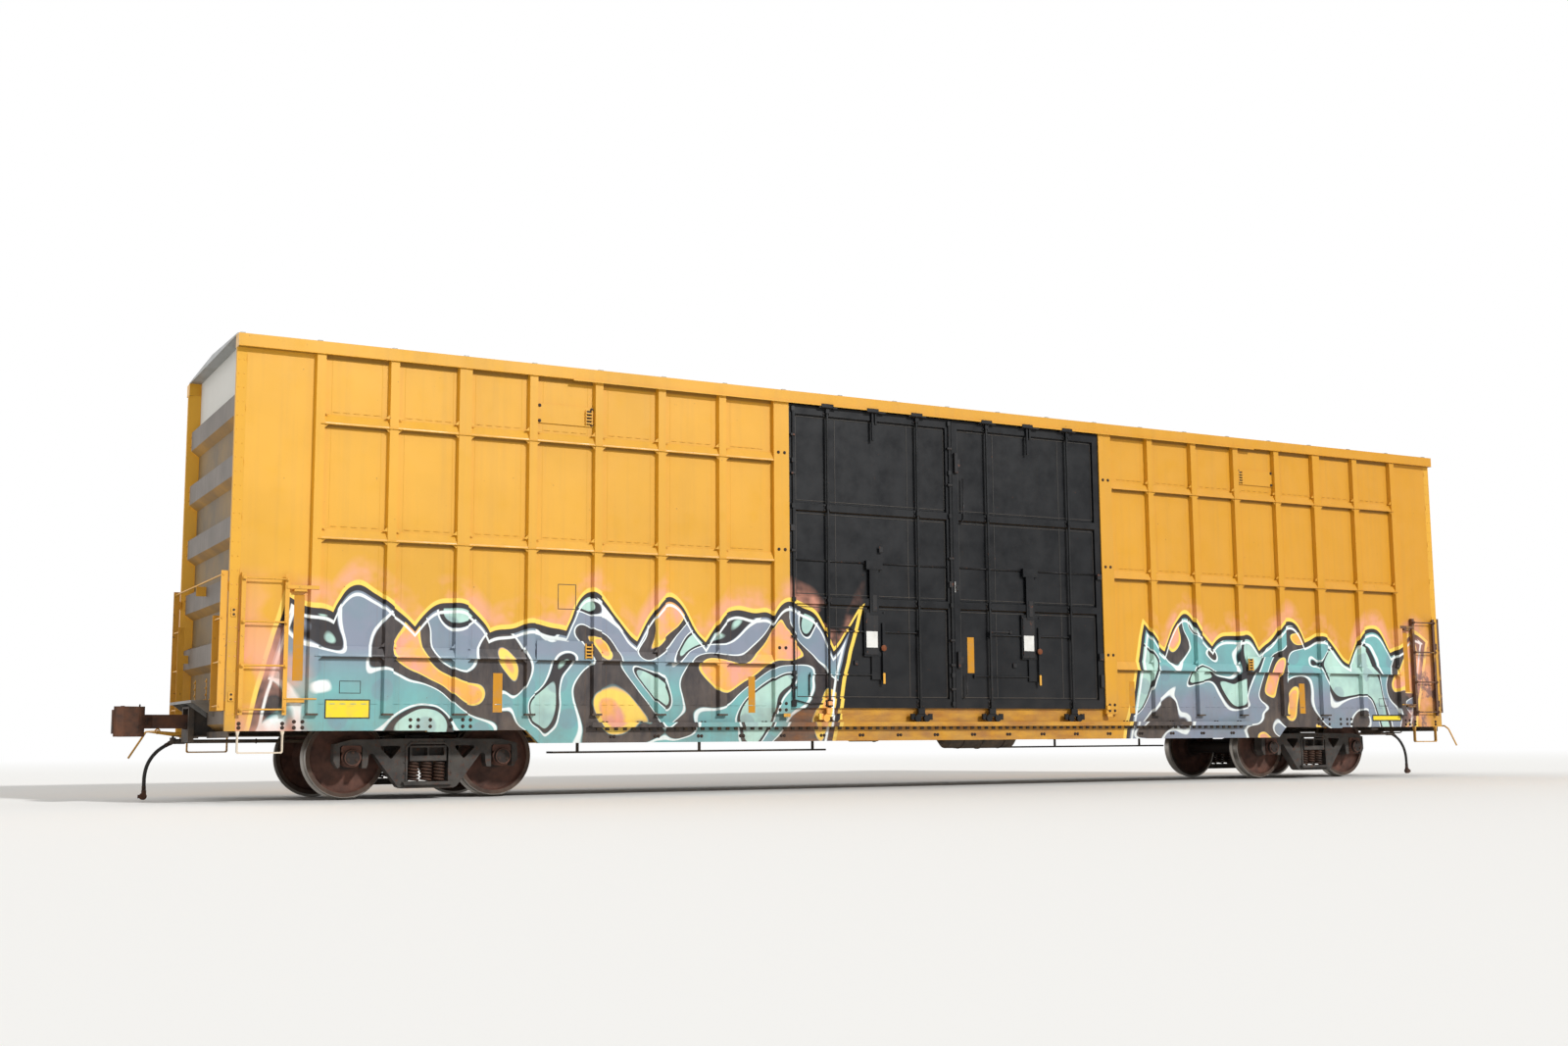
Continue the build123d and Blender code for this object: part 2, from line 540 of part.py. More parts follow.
def side_frame():
    """Cast side frame: pedestals over the bearings, top member, columns and diagonals to the spring seat."""
    journal = WHEEL_BASE / 2
    inner = journal - PEDESTAL_JAW
    outer = journal + PEDESTAL_JAW
    leg = inner - PEDESTAL_LEG
    foot = AXLE_Z - PEDESTAL_DROP
    low = SPRING_SEAT_Z - SPRING_SEAT_DEEP
    half = [(360, FRAME_TOP_Z), (640, FRAME_TOP_Z - 6), (journal, PEDESTAL_Z + 66),
            (outer + PEDESTAL_LEG, PEDESTAL_Z + 18), (outer + PEDESTAL_LEG + 6, AXLE_Z - 40), (outer + 24, foot),
            (outer, foot + 16), (outer, PEDESTAL_Z - 18), (outer - 18, PEDESTAL_Z), (inner + 18, PEDESTAL_Z),
            (inner, PEDESTAL_Z - 18), (inner, foot), (leg + 14, foot), (leg, foot + 40), (leg - 8, PEDESTAL_Z - 112),
            (leg - 30, PEDESTAL_Z - 90), (leg - 62, PEDESTAL_Z - 96), (345, low + 16), (305, low)]
    other = [(-x, z) for x, z in reversed(half)]
    y0 = -JOURNAL_Y - FRAME_HALF
    y1 = -JOURNAL_Y + FRAME_HALF
    frame = along_y(half + other, y0, y1)
    window = [(-WINDOW_HALF, SPRING_SEAT_Z), (WINDOW_HALF, SPRING_SEAT_Z), (WINDOW_HALF, WINDOW_TOP_Z - 40),
              (WINDOW_HALF - 40, WINDOW_TOP_Z), (-WINDOW_HALF + 40, WINDOW_TOP_Z),
              (-WINDOW_HALF, WINDOW_TOP_Z - 40)]
    rim = 24.0
    lip = [(-WINDOW_HALF - rim, SPRING_SEAT_Z - 20), (WINDOW_HALF + rim, SPRING_SEAT_Z - 20),
           (WINDOW_HALF + rim, WINDOW_TOP_Z - 30), (WINDOW_HALF - 30, WINDOW_TOP_Z + rim),
           (-WINDOW_HALF + 30, WINDOW_TOP_Z + rim), (-WINDOW_HALF - rim, WINDOW_TOP_Z - 30)]
    frame += along_y(lip, y0 - 12, y0 + 1)
    frame -= along_y(window, y0 - 20, y1 + 1)
    for side in (-1, 1):
        corners = [(side * 302, WINDOW_TOP_Z - 12), (side * 580, WINDOW_TOP_Z - 16), (side * 428, AXLE_Z - 26)]
        hole = Pos(0, y1 + 1, 0) * extrude(Plane.XZ * rounded(corners, 18), amount=y1 - y0 + 2)
        frame -= hole
    seat = [(-282, low + 38), (282, low + 38), (300, SPRING_SEAT_Z), (-300, SPRING_SEAT_Z)]
    return frame + along_y(seat, y0 - 46, y1 + 60)


def coil_spring(x, y):
    """Coil spring standing on the side frame's seat, its turns shown as rounded rings."""
    z0 = SPRING_SEAT_Z + SEAT
    z1 = BOLSTER_LOW_Z - SEAT
    turns = 6
    step = (z1 - z0) / turns
    rows = [(0, z0)]
    for number in range(turns):
        z = z0 + number * step
        rows += [(58, z), (71, z + step * 0.3), (71, z + step * 0.7)]
    rows += [(58, z1), (0, z1)]
    return Pos(x, y, 0) * revolve(Plane.XZ * outline(rows), axis=Axis.Z, revolution_arc=360)


def truck_bolster():
    """Truck bolster: a deep beam through both side frames, with pocketed ends, the bowl and side bearings."""
    low = BOLSTER_LOW_Z
    top = BOLSTER_TOP_Z
    y = JOURNAL_Y + 90
    deep = [(-y, low), (-y, top), (-700, top), (-560, CENTER_PLATE_Z - 40), (560, CENTER_PLATE_Z - 40),
            (700, top), (y, top), (y, low), (700, low), (480, low - 70), (-480, low - 70), (-700, low)]
    beam = along_x(deep, -BOLSTER_HALF, BOLSTER_HALF)
    for side in (-1, 1):
        for x0, x1 in ((-BOLSTER_HALF + 26, -8), (8, BOLSTER_HALF - 26)):
            end = sorted((side * (y - 110), side * (y + 1)))
            beam -= block(x0, x1, end[0], end[1], low + 62, top - 22)
    beam += rod_z(CENTER_PLATE_R + 32, 0, 0, CENTER_PLATE_Z - 41, CENTER_PLATE_Z + 18)
    beam -= rod_z(CENTER_PLATE_R + 6, 0, 0, CENTER_PLATE_Z, CENTER_PLATE_Z + 40)
    beam -= rod_z(30, 0, 0, CENTER_PLATE_Z - 200, CENTER_PLATE_Z + 40)
    for side in (-1, 1):
        beam += block(-130, 130, side * SIDE_BEARING_Y - 55, side * SIDE_BEARING_Y + 55, CENTER_PLATE_Z - 80,
                      SILL_BOTTOM_Z + SILL_WEB - 6)
    return beam


def bearing(x):
    """Roller bearing cup with its adapter, seated in the side frame's pedestal."""
    cup = rod_y(BEARING_R, x, -JOURNAL_Y - 92, -JOURNAL_Y + 92, AXLE_Z)
    cup -= rod_y(JOURNAL_R + JOURNAL_PLAY, x, -JOURNAL_Y - 100, -JOURNAL_Y + 100, AXLE_Z)
    half = PEDESTAL_JAW - 12
    crown = PEDESTAL_Z - SEAT
    section = [(x - half, AXLE_Z + 58), (x - half, crown - 20), (x - half + 20, crown), (x + half - 20, crown),
               (x + half, crown - 20), (x + half, AXLE_Z + 58)]
    adapter = along_y(section, -JOURNAL_Y - 84, -JOURNAL_Y + 84)
    adapter -= rod_y(BEARING_R - 1, x, -JOURNAL_Y - 100, -JOURNAL_Y + 100, AXLE_Z)
    return cup + adapter


def brake_beam(side):
    """Brake beam across the truck with a shoe at each wheel tread."""
    x = side * (WHEEL_BASE / 2 - WHEEL_R - 95)
    z = RAIL + 380.0
    beam = along_y([(x - 30, z - 28), (x + 30, z - 28), (x + 30, z + 28), (x - 30, z + 28)],
                   -JOURNAL_Y + FRAME_HALF + SEAT, JOURNAL_Y - FRAME_HALF - SEAT)
    for y in (-1, 1):
        cx = side * WHEEL_BASE / 2
        shoe = Pos(cx, y * 772, AXLE_Z) * extrude(
            Plane.XZ * (Circle(WHEEL_R + 55) - Circle(WHEEL_R + 8)), amount=38, both=True)
        keep = block(min(x, x + side * 90), max(x, x + side * 90), y * 772 - 60, y * 772 + 60, z - 150, z + 150)
        head = block(min(x, x + side * 63), max(x, x + side * 63), y * 772 - 38, y * 772 + 38, z - 40, z + 40)
        beam += (shoe & keep) + head
    return beam


def at_truck(solids, sign):
    return [Pos(sign * TRUCK_X, 0, 0) * solid for solid in solids]


# Ladders, steps and end fittings

LADDER_WIDE = 490.0
LADDER_INSET = 20.0
LADDER_X = (CORNER_SEAM - LADDER_INSET - LADDER_WIDE, CORNER_SEAM - LADDER_INSET)
RUNG_COUNT = 4
RUNG_LOW_UP = 985.0
RUNG_PITCH = 472.0
RUNG_ZS = [RAIL + RUNG_LOW_UP + RUNG_PITCH * number for number in range(RUNG_COUNT)]
RUNG_R = 10.0
STILE = 10.0
STILE_FACE = 46.0
LADDER_OFF = POST_Y - WALL_Y
END_RUNG_RISE = 40.0
END_LADDER_WIDE = 410.0
END_STILE_OUT = 82.0
STEP_UP = 530.0


def side_ladder():
    """Side ladder at the corner: two angle stiles against the side, with four rungs across their faces."""
    x0, x1 = LADDER_X
    face = -WALL_Y - LADDER_OFF
    foot = -WALL_Y - SEAT
    low = RUNG_ZS[0] - 60
    high = RUNG_ZS[-1] + 60
    pieces = [rod_x(RUNG_R, x0, x1, face - RUNG_R - SEAT, z) for z in RUNG_ZS]
    for x, turn in ((x0 - STILE, 1), (x1 + STILE, -1)):
        web = x + turn * 6
        edge = x + turn * STILE_FACE
        angle = [(x, foot), (x, face), (edge, face), (edge, face + 6), (web, face + 6), (web, foot)]
        pieces.append(along_z(angle, low, high))
    hold = RUNG_ZS[-1] - 80
    last = POST_FIRST + (POST_COUNT - 1) * POST_PITCH
    pieces.append(block(last - 40, x0 - STILE + 30, face - SEAT - 8, face - SEAT, hold - 20, hold + 20))
    return pieces


def end_ladder():
    """End ladder beside the corner: a tall outer stile, a shorter inner one and three rungs."""
    x0 = BODY_HALF + 8
    x1 = BODY_HALF + END_STILE_OUT
    outer = -WALL_Y + 30
    inner = outer + END_LADDER_WIDE
    low = RUNG_ZS[0] + END_RUNG_RISE - 50
    rungs = [z + END_RUNG_RISE for z in RUNG_ZS]
    pieces = [rod_y(RUNG_R, x1 - 24, outer + STILE + SEAT, inner - SEAT, z) for z in rungs[:-1]]
    rows = ((outer, BODY_HALF + SEAT, rungs[-1] + 40, (RIB_TOPS[-1], RIB_TOPS[-3])),
            (inner, END_PLATE_OUT + RIB_DEEP + SEAT, rungs[-2] + 50, (RIB_TOPS[-1], RIB_TOPS[-2])))
    for y, foot, high, tops in rows:
        stile = block(x0, x1, y, y + STILE, low, high)
        for top in tops:
            level = max(top - RIB_FACE / 2, low + 50)
            stile += block(foot, x0 + 1, y, y + STILE, level - 50, level + 50)
        pieces.append(stile)
    return pieces


def end_handrail():
    """Long handhold across the end between the tall stiles, with a strut to the rib at its middle."""
    x = BODY_HALF + END_STILE_OUT - 24
    z = RUNG_ZS[-1] + END_RUNG_RISE
    reach = WALL_Y - 30 - STILE - SEAT
    strut = block(END_PLATE_OUT + RIB_DEEP + SEAT, x + RUNG_R, -64, -56, RIB_TOPS[-3] - 110, z - RUNG_R - SEAT)
    return [rod_y(RUNG_R, x, -reach, reach, z), strut]


def sill_step():
    """Stirrup step under the side sill at the ladder, with flared feet and rounded corners."""
    x0, x1 = LADDER_X
    y = -WALL_Y + 20
    top = SILL_END_Z - SEAT
    tread = RAIL + STEP_UP
    thick = 16.0
    left = [(x0 - 12, top), (x0 + 30, top), (x0 + thick, top - 50), (x0 + thick, tread + 12),
            (x0 + thick + 12, tread)]
    lower = [(x0, top - 50), (x0, tread), (x0 + thick, tread - thick)]
    middle = x0 + x1
    right = [(middle - x, z) for x, z in reversed(left)]
    around = [(middle - x, z) for x, z in lower]
    return along_y(left + right + around + list(reversed(lower)), y - 22, y + 22)


PLATFORM_UP = 1105.0


def end_platform():
    """Crossover platform of open grating across the end, on brackets with straps up the end."""
    x0 = BODY_HALF - 30
    x1 = BODY_HALF + 210
    z = RAIL + PLATFORM_UP
    deck = block(x0, x1, -700, 700, z - 30, z)
    for number in range(5):
        y = -660 + number * 268
        deck -= block(x0 + 20, x1 - 20, y, y + 248, z - 31, z + 1)
    foot = END_PLATE_OUT + RIB_DEEP + SEAT
    face = RIB_TOPS[-1] - 6
    for y in (-676, -236, 228, 668):
        deck += along_y([(foot, z - 30), (x1 - 30, z - 30), (foot, z - 190)], y, y + 8)
        deck += block(foot, x0 + 1, y - 16, y + 24, z - 60, face)
    return deck


def end_sill():
    """End sill channel under the corrugated end."""
    half = SILL_IN + SILL_WEB + SILL_FOOT
    x0 = END_PLATE_OUT - END_PLATE
    x1 = END_PLATE_OUT + RIB_DEEP
    low = SILL_END_Z - 70
    top = SILL_END_Z - SEAT
    channel = [(x1 - 12, low), (x1, low), (x1, top), (x0, top), (x0, top - 12), (x1 - 12, top - 12)]
    return left_right(along_y(channel, -WALL_Y + 50, -half - SEAT))


def hand_brake():
    """Hand brake housing on the end, with its wheel."""
    x = END_PLATE_OUT + RIB_DEEP + SEAT
    y = -640.0
    z = RAIL + 1900.0
    housing = block(x, x + 130, y - 120, y + 120, z - 200, z + 200)
    hub = rod_x(26, x + 130 + SEAT, x + 215, y, z)
    ring = Pos(x + 200, y, z) * extrude(Plane.YZ * (Circle(280) - Circle(252)), amount=22)
    wheel = hub + ring
    for angle in range(0, 360, 60):
        arm = Box(14, 256, 26, align=(Align.CENTER, Align.MIN, Align.CENTER))
        spoke = Pos(x + 202, y, z) * Rot(angle, 0, 0) * arm
        wheel += spoke
    return housing, wheel


def brake_reservoir():
    """Two-chamber air reservoir slung beside the center sill."""
    x0, x1 = 300.0, 1500.0
    y, z, r = -760.0, RAIL + 690.0, 200.0
    rows = [(x0, 0), (x0, r - 60), (x0 + 60, r), (x0 + 580, r), (x0 + 590, r + 14), (x0 + 610, r + 14),
            (x0 + 620, r), (x1 - 60, r), (x1, r - 60), (x1, 0)]
    tank = Pos(0, y, z) * revolve(Plane.XZ * outline(rows), axis=Axis.X, revolution_arc=360)
    for x in (x0 + 250, x1 - 270):
        tank += block(x, x + 50, y - 8, y + 8, z + r - 10, DECK_UNDER_Z - SEAT)
    return tank


def brake_valve():
    """Control valve on its pipe bracket."""
    x, y, z = 2300.0, -760.0, RAIL + 760.0
    valve = block(x - 90, x + 90, y - 110, y + 110, z - 160, z + 130)
    valve += rod_x(95, x - 260, x + 260, y, z - 20)
    return valve + block(x - 60, x + 60, y - 40, y + 40, z + 129, DECK_UNDER_Z - SEAT)


def brake_cylinder():
    """Brake cylinder with its push rod and the lever that it pulls."""
    x, y, z = -1080.0, -620.0, RAIL + 740.0
    body = rod_x(150, x, x + 420, y, z) + rod_x(22, x - 420, x, y, z)
    body += block(x + 60, x + 360, y - 60, y + 60, z + 130, DECK_UNDER_Z - SEAT)
    return body + block(x - 432, x - 408, -BRAKE_ROD_Y - 20, y + 20, z - 24, z + 24)


BRAKE_ROD_Y = 640.0
BRAKE_ROD_UP = 488.0


def brake_rod():
    """Long brake rod towards one truck, on hangers from the crossbearers, with a lever at each end."""
    z = RAIL + BRAKE_ROD_UP
    y = -BRAKE_ROD_Y
    low = SILL_BOTTOM_Z + SILL_WEB + SEAT
    half = SILL_IN + SILL_WEB
    above = low + BEARER_RISE * (BRAKE_ROD_Y - half) / (WALL_Y - SILL_PLATE - half) - 2 * SEAT
    rod = rod_x(12, CROSSBEARERS[1] - 200, CROSSBEARERS[3] + 330, y, z)
    for x in CROSSBEARERS[1:]:
        rod += block(x - 20, x + 20, y, y + 6, z, above)
    return rod + block(CROSSBEARERS[3] + 300, CROSSBEARERS[3] + 330, y - 30, y + 200, z - 12, z + 12)


PIPE_Y = 330.0
PIPE_UP = 652.0
PIPE_Z = RAIL + PIPE_UP
PIPE_R = 22.0
PIPE_END_X = STRIKER_X - 60
COCK_REACH = 134.5
NIPPLE = 46.8


def train_pipe():
    """Brake pipe under the crossbearers; it changes sides below the middle of the center sill."""
    run = FilletPolyline((-PIPE_END_X, PIPE_Y, PIPE_Z), (-700, PIPE_Y, PIPE_Z), (700, -PIPE_Y, PIPE_Z),
                         (PIPE_END_X, -PIPE_Y, PIPE_Z), radius=250)
    pipe = sweep(Plane(run @ 0, z_dir=run % 0) * Circle(PIPE_R), path=run)
    low = SILL_BOTTOM_Z + SILL_WEB + SEAT
    half = SILL_IN + SILL_WEB
    above = low + BEARER_RISE * (PIPE_Y - 6 - half) / (WALL_Y - SILL_PLATE - half) - SEAT
    for x in CROSSBEARERS[1:]:
        for side in (-1, 1):
            pipe += block(side * x - 20, side * x + 20, -side * PIPE_Y - 6, -side * PIPE_Y + 6, PIPE_Z, above)
    return pipe


def angle_cock():
    """Angle cock at the pipe's end: a plug body on a vertical axis, a turned-down nipple and a flat handle."""
    x = PIPE_END_X + COCK_REACH
    y = -PIPE_Y
    top = PIPE_Z + 45
    cock = rod_x(30, PIPE_END_X + SEAT, x, y, PIPE_Z) + rod_z(34, x, y, PIPE_Z - 28, top)
    tilt = Pos(x, y, PIPE_Z) * Rot(0, 90 + HOSE_EXIT_DEG, 0)
    cock += tilt * Cylinder(28, NIPPLE - SEAT, align=(Align.CENTER, Align.CENTER, Align.MIN))
    cock += rod_z(14, x, y, top - 1, top + 22)
    return cock + block(x - 130, x + 12, y - 12, y + 12, top + 12, top + 22)


# Air hose, hanging from the angle cock to its open coupling: a limp 38 mm hose
HOSE_EXIT_DEG = 30.0
HOSE_R = 21.0
HOSE_ROUTE = [(9680, -330, 654), (9775, -330, 599), (9852, -331, 520), (9907, -334, 425), (9933, -338, 318),
              (9937, -341, 208), (9933, -343, 128)]


def fair_radii(points):
    """Radius at each inner point: 0.45 of the shorter run over the tangent of half the turn."""
    rounds = []
    for before, here, after in zip(points, points[1:], points[2:]):
        first = Vector(*here) - Vector(*before)
        second = Vector(*after) - Vector(*here)
        turn = math.radians(first.get_angle(second))
        rounds.append(0.45 * min(first.length, second.length) / math.tan(turn / 2))
    return rounds


def air_hose():
    radii = fair_radii(HOSE_ROUTE)
    path = FilletPolyline(*HOSE_ROUTE, radius=radii)
    hose = sweep(Plane(path @ 0, z_dir=path % 0) * Circle(HOSE_R), path=path)
    print("air hose radii", [round(radius) for radius in radii], "length", round(path.length, 1),
          "volume over section times length", round(hose.volume / (math.pi * HOSE_R**2 * path.length), 4))
    return hose


def gladhand():
    """Open hose coupling at the end of the air hose: a ferrule and a flat cast head."""
    x, y, z = HOSE_ROUTE[-1]
    head = rod_z(27, x, y, z - 45, z - 2) + rod_y(40, x + 8, y - 26, y + 26, z - 70)
    return head + block(x + 10, x + 62, y - 26, y - 8, z - 92, z - 52)


LEVER_OUT = 380.0
LEVER_UP = 770.0
LEVER_INSET = 200.0
LEVER_DROP = 315.0


def uncoupling_lever():
    """Bent uncoupling lever on its bracket, with a handle at the corner and an eye by the coupler."""
    x = BODY_HALF + LEVER_OUT
    z = RAIL + LEVER_UP
    end_y = -WALL_Y + LEVER_INSET
    lever = bar([(x + 180, end_y, z - LEVER_DROP), (x + 20, end_y + 10, z - 50), (x, end_y + 70, z),
                 (x, -380, z)], 12)
    for y in (-1180, -560):
        foot = END_PLATE_OUT + RIB_DEEP + SEAT
        lever += along_y([(foot, SILL_END_Z - 60), (foot, SILL_END_Z - 10), (x, z + 8), (x, z - 8)], y, y + 10)
    return lever


def door_roller():
    """Roller truck that carries a door rod: a yoke with two rollers on the lower rail's running edge."""
    z = LEDGE_Z + SEAT + ROLLER_R
    top = LEDGE_Z + ROLLER_TALL
    yoke = [(-104, z - 12), (-100, z + 14), (-62, top), (62, top), (100, z + 14), (104, z - 12), (72, z - 12),
            (30, z + 20), (-30, z + 20), (-72, z - 12)]
    frame = along_y(yoke, -DOOR_FRAME_Y - 34, -DOOR_FRAME_Y - SEAT)
    return frame + [rod_y(ROLLER_R, x, -HOOD_Y + 2, -DOOR_FRAME_Y - 20, z) for x in (-70, 70)]


def door_rod(x, foot):
    """Full rod or short top rod of a door, with the flat hanger that runs under the hood."""
    y = -DOOR_FRAME_Y - ROD_R - SEAT
    hanger = block(x - 130, x + 140, -HOOD_Y + 4, -DOOR_FRAME_Y - 4, CHORD_BOTTOM_Z - 40, CHORD_BOTTOM_Z - 26)
    return rod_z(ROD_R, x, y, foot, CHORD_BOTTOM_Z - 8) + hanger


def slim_rod(x):
    """Slim lock rod down a door's stile, with its keepers."""
    back = -DOOR_FRAME_Y - SEAT
    y = back - 14
    rod = rod_z(SLIM_ROD_R, x, y, DOOR_BOTTOM_Z + 20, DOOR_TOP_Z - 20)
    levels = (DOOR_BOTTOM_Z + 60,) + DOOR_BEAMS + (DOOR_TOP_Z - 60, LEDGE_Z + 620, LEDGE_Z + 3350)
    return rod + [block(x - 24, x + 24, y - 15, back, z - 28, z + 28) for z in levels]


GEAR_UNDER_BEAM = 35.0
GEAR_TALL = 610.0
GEAR_HALF = 155.0
GEAR_LINK_DROP = 290.0
GEAR_FOOT = 300.0
COLUMN_RISE = 430.0


def door_gear(middle):
    """Gear case with its handle, lower box, column over the beam, and links out to the door's rods."""
    back = -DOOR_SKIN_Y - SEAT
    front = -DOOR_FRAME_Y - SEAT
    top = DOOR_BEAMS[0] - BEAM_TALL / 2 - GEAR_UNDER_BEAM
    low = top - GEAR_TALL
    case = block(middle - GEAR_HALF, middle + GEAR_HALF, front, back, low, top)
    case += block(middle - 40, middle + GEAR_HALF, front + 8, back, low - GEAR_FOOT, low + 1)
    high = DOOR_BEAMS[0] + COLUMN_RISE
    case += block(middle - 70, middle + 64, front - 14, front, top - 70, high + 1)
    case += block(middle - 122, middle + 130, front - 20, back, high, high + 115)
    link = top - GEAR_LINK_DROP
    y = back - 14
    for side in (-1, 1):
        reach = sorted((middle + side * ROD_OFFSET, middle + side * (GEAR_HALF - 1)))
        case += rod_x(11, reach[0], reach[1], y, link)
        x = middle + side * ROD_OFFSET
        case += block(x - 30, x + 30, front + 1, back, link - 36, link + 36)
    lower = low - GEAR_FOOT + 60
    case += rod_x(9, middle - ROD_OFFSET - 240, middle - 39, y, lower)
    case += block(middle - ROD_OFFSET - 262, middle - ROD_OFFSET - 236, y - 14, back, lower - 24, lower + 24)
    pivot = top - 500
    case += block(middle + 108, middle + 142, front - 26, front - 12, pivot - 470, pivot + 330)
    return case + rod_y(34, middle + 125, front - 32, front + 1, pivot)


def sign_board(back, z0, z1):
    """Framed board between the third and fourth posts, its back at the given distance from the middle."""
    x0 = POST_FIRST + 2 * POST_PITCH + 65
    x1 = POST_FIRST + 3 * POST_PITCH - 65
    return block(x0, x1, -back - SEAT - 16, -back - SEAT, z0, z1)


nodes = {}


def keep(name, solids):
    """Keep one node: a solid, or a list of solids that don't touch."""
    nodes[name] = solids if isinstance(solids, list) else [solids]


keep("side_panels_right", both_ends(side_panel()))
keep("side_panels_left", [turned(panel) for panel in both_ends(side_panel())])
grids = both_ends(side_grid())
keep("side_grids_right", grids)
keep("side_grids_left", [turned(grid) for grid in grids])
keep("door_posts", four_corners(door_post()))
keep("top_chords", left_right(top_chord()))
keep("side_sills", left_right(side_sill()))
keep("door_tracks", left_right(door_hood()) + left_right(door_ledge()))

door_b = plug_door(DOOR_GAP / 2, JAMB_IN - DOOR_GAP)
door_a = mirror(door_b, about=Plane.YZ)
for side, first, second in (("right", door_b, door_a), ("left", turned(door_a), turned(door_b))):
    keep(f"plug_door_{side}_b", first)
    keep(f"plug_door_{side}_a", second)

rods = []
rollers = []
gears = []
for middle in (-JAMB_IN / 2, JAMB_IN / 2):
    for offset in (-ROD_OFFSET, ROD_OFFSET):
        rods.append(door_rod(middle + offset, LEDGE_Z + ROLLER_TALL + SEAT))
        rollers.append(Pos(middle + offset, 0, 0) * door_roller())
    rods.append(door_rod(middle + 50, DOOR_TOP_Z - 175))
    gears.append(door_gear(middle))
rods += [slim_rod(-JAMB_IN + 60), slim_rod(-DOOR_FRAME / 2)]
keep("door_rods", rods + [turned(rod) for rod in rods])
keep("door_rollers", rollers + [turned(roller) for roller in rollers])
keep("door_gears", gears + [turned(gear) for gear in gears])
boards = [sign_board(WALL_Y, RAIL_LIPS[2] + LIP_TALL + 119, RAIL_LIPS[2] + LIP_TALL + 354),
          sign_board(WALL_Y + SEAT + LIP_DEEP, RAIL_LIPS[0] + 2, RAIL_LIPS[0] + 228)]
keep("sign_boards", [corner for board in boards for corner in four_corners(board)])

keep("roof", roof())
wall = end_wall()
keep("end_wall_b", wall)
keep("end_wall_a", turned(wall))
deck = block(-INSIDE_HALF + 0.5, INSIDE_HALF - 0.5, -INSIDE_Y, INSIDE_Y, DECK_UNDER_Z, FLOOR_Z)
keep("floor_deck", deck + stringers())
keep("center_sill", center_sill())
keep("body_bolsters", four_corners(body_bolster()))
keep("center_plates", both_ends(center_plate()))
bearers = []
for x in CROSSBEARERS:
    halves = left_right(crossbearer(x))
    bearers += halves if x == 0 else halves + [mirror(half, about=Plane.YZ) for half in halves]
keep("crossbearers", bearers)
keep("draft_yokes", both_ends(draft_yoke()))
keep("end_sills", [piece for channel in end_sill() for piece in both_ends(channel)])
keep("side_ladders", [corner for piece in side_ladder() for corner in four_corners(piece)])
ladders = [corner for piece in end_ladder() for corner in four_corners(piece)]
keep("end_ladders", ladders + end_handrail() + [turned(piece) for piece in end_handrail()])
keep("sill_steps", four_corners(sill_step()))
keep("end_platforms", both_ends(end_platform()))
housing, brake_wheel = hand_brake()
keep("hand_brake", housing)
keep("hand_brake_wheel", brake_wheel)
keep("brake_reservoir", brake_reservoir())
keep("brake_valve", brake_valve())
long_rod = mirror(brake_rod(), about=Plane.YZ)
keep("brake_cylinder", [brake_cylinder(), long_rod, turned(long_rod)])
keep("train_pipe", train_pipe())
keep("angle_cocks", [angle_cock(), turned(angle_cock())])
keep("uncoupling_levers", [uncoupling_lever(), turned(uncoupling_lever())])
hose = air_hose()
keep("air_hose_b", hose)
keep("air_hose_a", turned(hose))
keep("gladhand_b", gladhand())
keep("gladhand_a", turned(gladhand()))

for end, sign in (("a", -1), ("b", 1)):
    frames = left_right(side_frame())
    springs = [coil_spring(x, y) for x in (-152, 0, 152) for y in (-JOURNAL_Y, JOURNAL_Y)]
    cups = [cup for x in (-WHEEL_BASE / 2, WHEEL_BASE / 2) for cup in left_right(bearing(x))]
    keep(f"truck_bolster_{end}", at_truck([truck_bolster()], sign))
    keep(f"side_frames_{end}", at_truck(frames, sign))
    keep(f"coil_springs_{end}", at_truck(springs, sign))
    keep(f"bearings_{end}", at_truck(cups, sign))
    keep(f"brake_beams_{end}", at_truck([brake_beam(-1), brake_beam(1)], sign))
    coupler_here, knuckle_here = coupler(), knuckle()
    keep(f"coupler_{end}", coupler_here if sign > 0 else turned(coupler_here))
    keep(f"knuckle_{end}", knuckle_here if sign > 0 else turned(knuckle_here))
for number, x in enumerate((-TRUCK_X - WHEEL_BASE / 2, -TRUCK_X + WHEEL_BASE / 2, TRUCK_X - WHEEL_BASE / 2,
                            TRUCK_X + WHEEL_BASE / 2), start=1):
    keep(f"wheelset_{number}", wheelset(x))

os.makedirs("parts", exist_ok=True)
for name, solids in nodes.items():
    pieces = [piece for solid in solids for piece in solid.solids()]
    export_step(Compound(children=pieces), f"parts/{name}.step")
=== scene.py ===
"""Finish, small fittings and stage of a sixty-foot boxcar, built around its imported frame.

Metres, in the frame's own axes: +X along the car, -Y towards the camera, +Z up.
"""

import json
import math
from itertools import product

import bmesh
import bpy
from bpy.props import FloatProperty, FloatVectorProperty, PointerProperty
from mathutils import Euler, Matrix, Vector


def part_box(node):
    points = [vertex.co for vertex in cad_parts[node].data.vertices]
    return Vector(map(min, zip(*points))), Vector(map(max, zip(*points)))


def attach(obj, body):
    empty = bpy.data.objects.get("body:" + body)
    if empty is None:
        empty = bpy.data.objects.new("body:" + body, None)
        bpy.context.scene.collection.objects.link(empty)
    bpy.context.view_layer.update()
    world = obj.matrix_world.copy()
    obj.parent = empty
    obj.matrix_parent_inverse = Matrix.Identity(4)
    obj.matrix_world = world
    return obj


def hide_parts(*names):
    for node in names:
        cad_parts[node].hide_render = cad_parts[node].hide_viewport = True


bl_info = {
    "name": "Boxcar finish",
    "version": (1, 0, 0),
    "blender": (4, 5, 0),
    "location": "View3D > Sidebar > Boxcar",
    "description": "Paints a boxcar's frame and adds its springs, bolts, plates and hoses",
    "category": "Object",
}

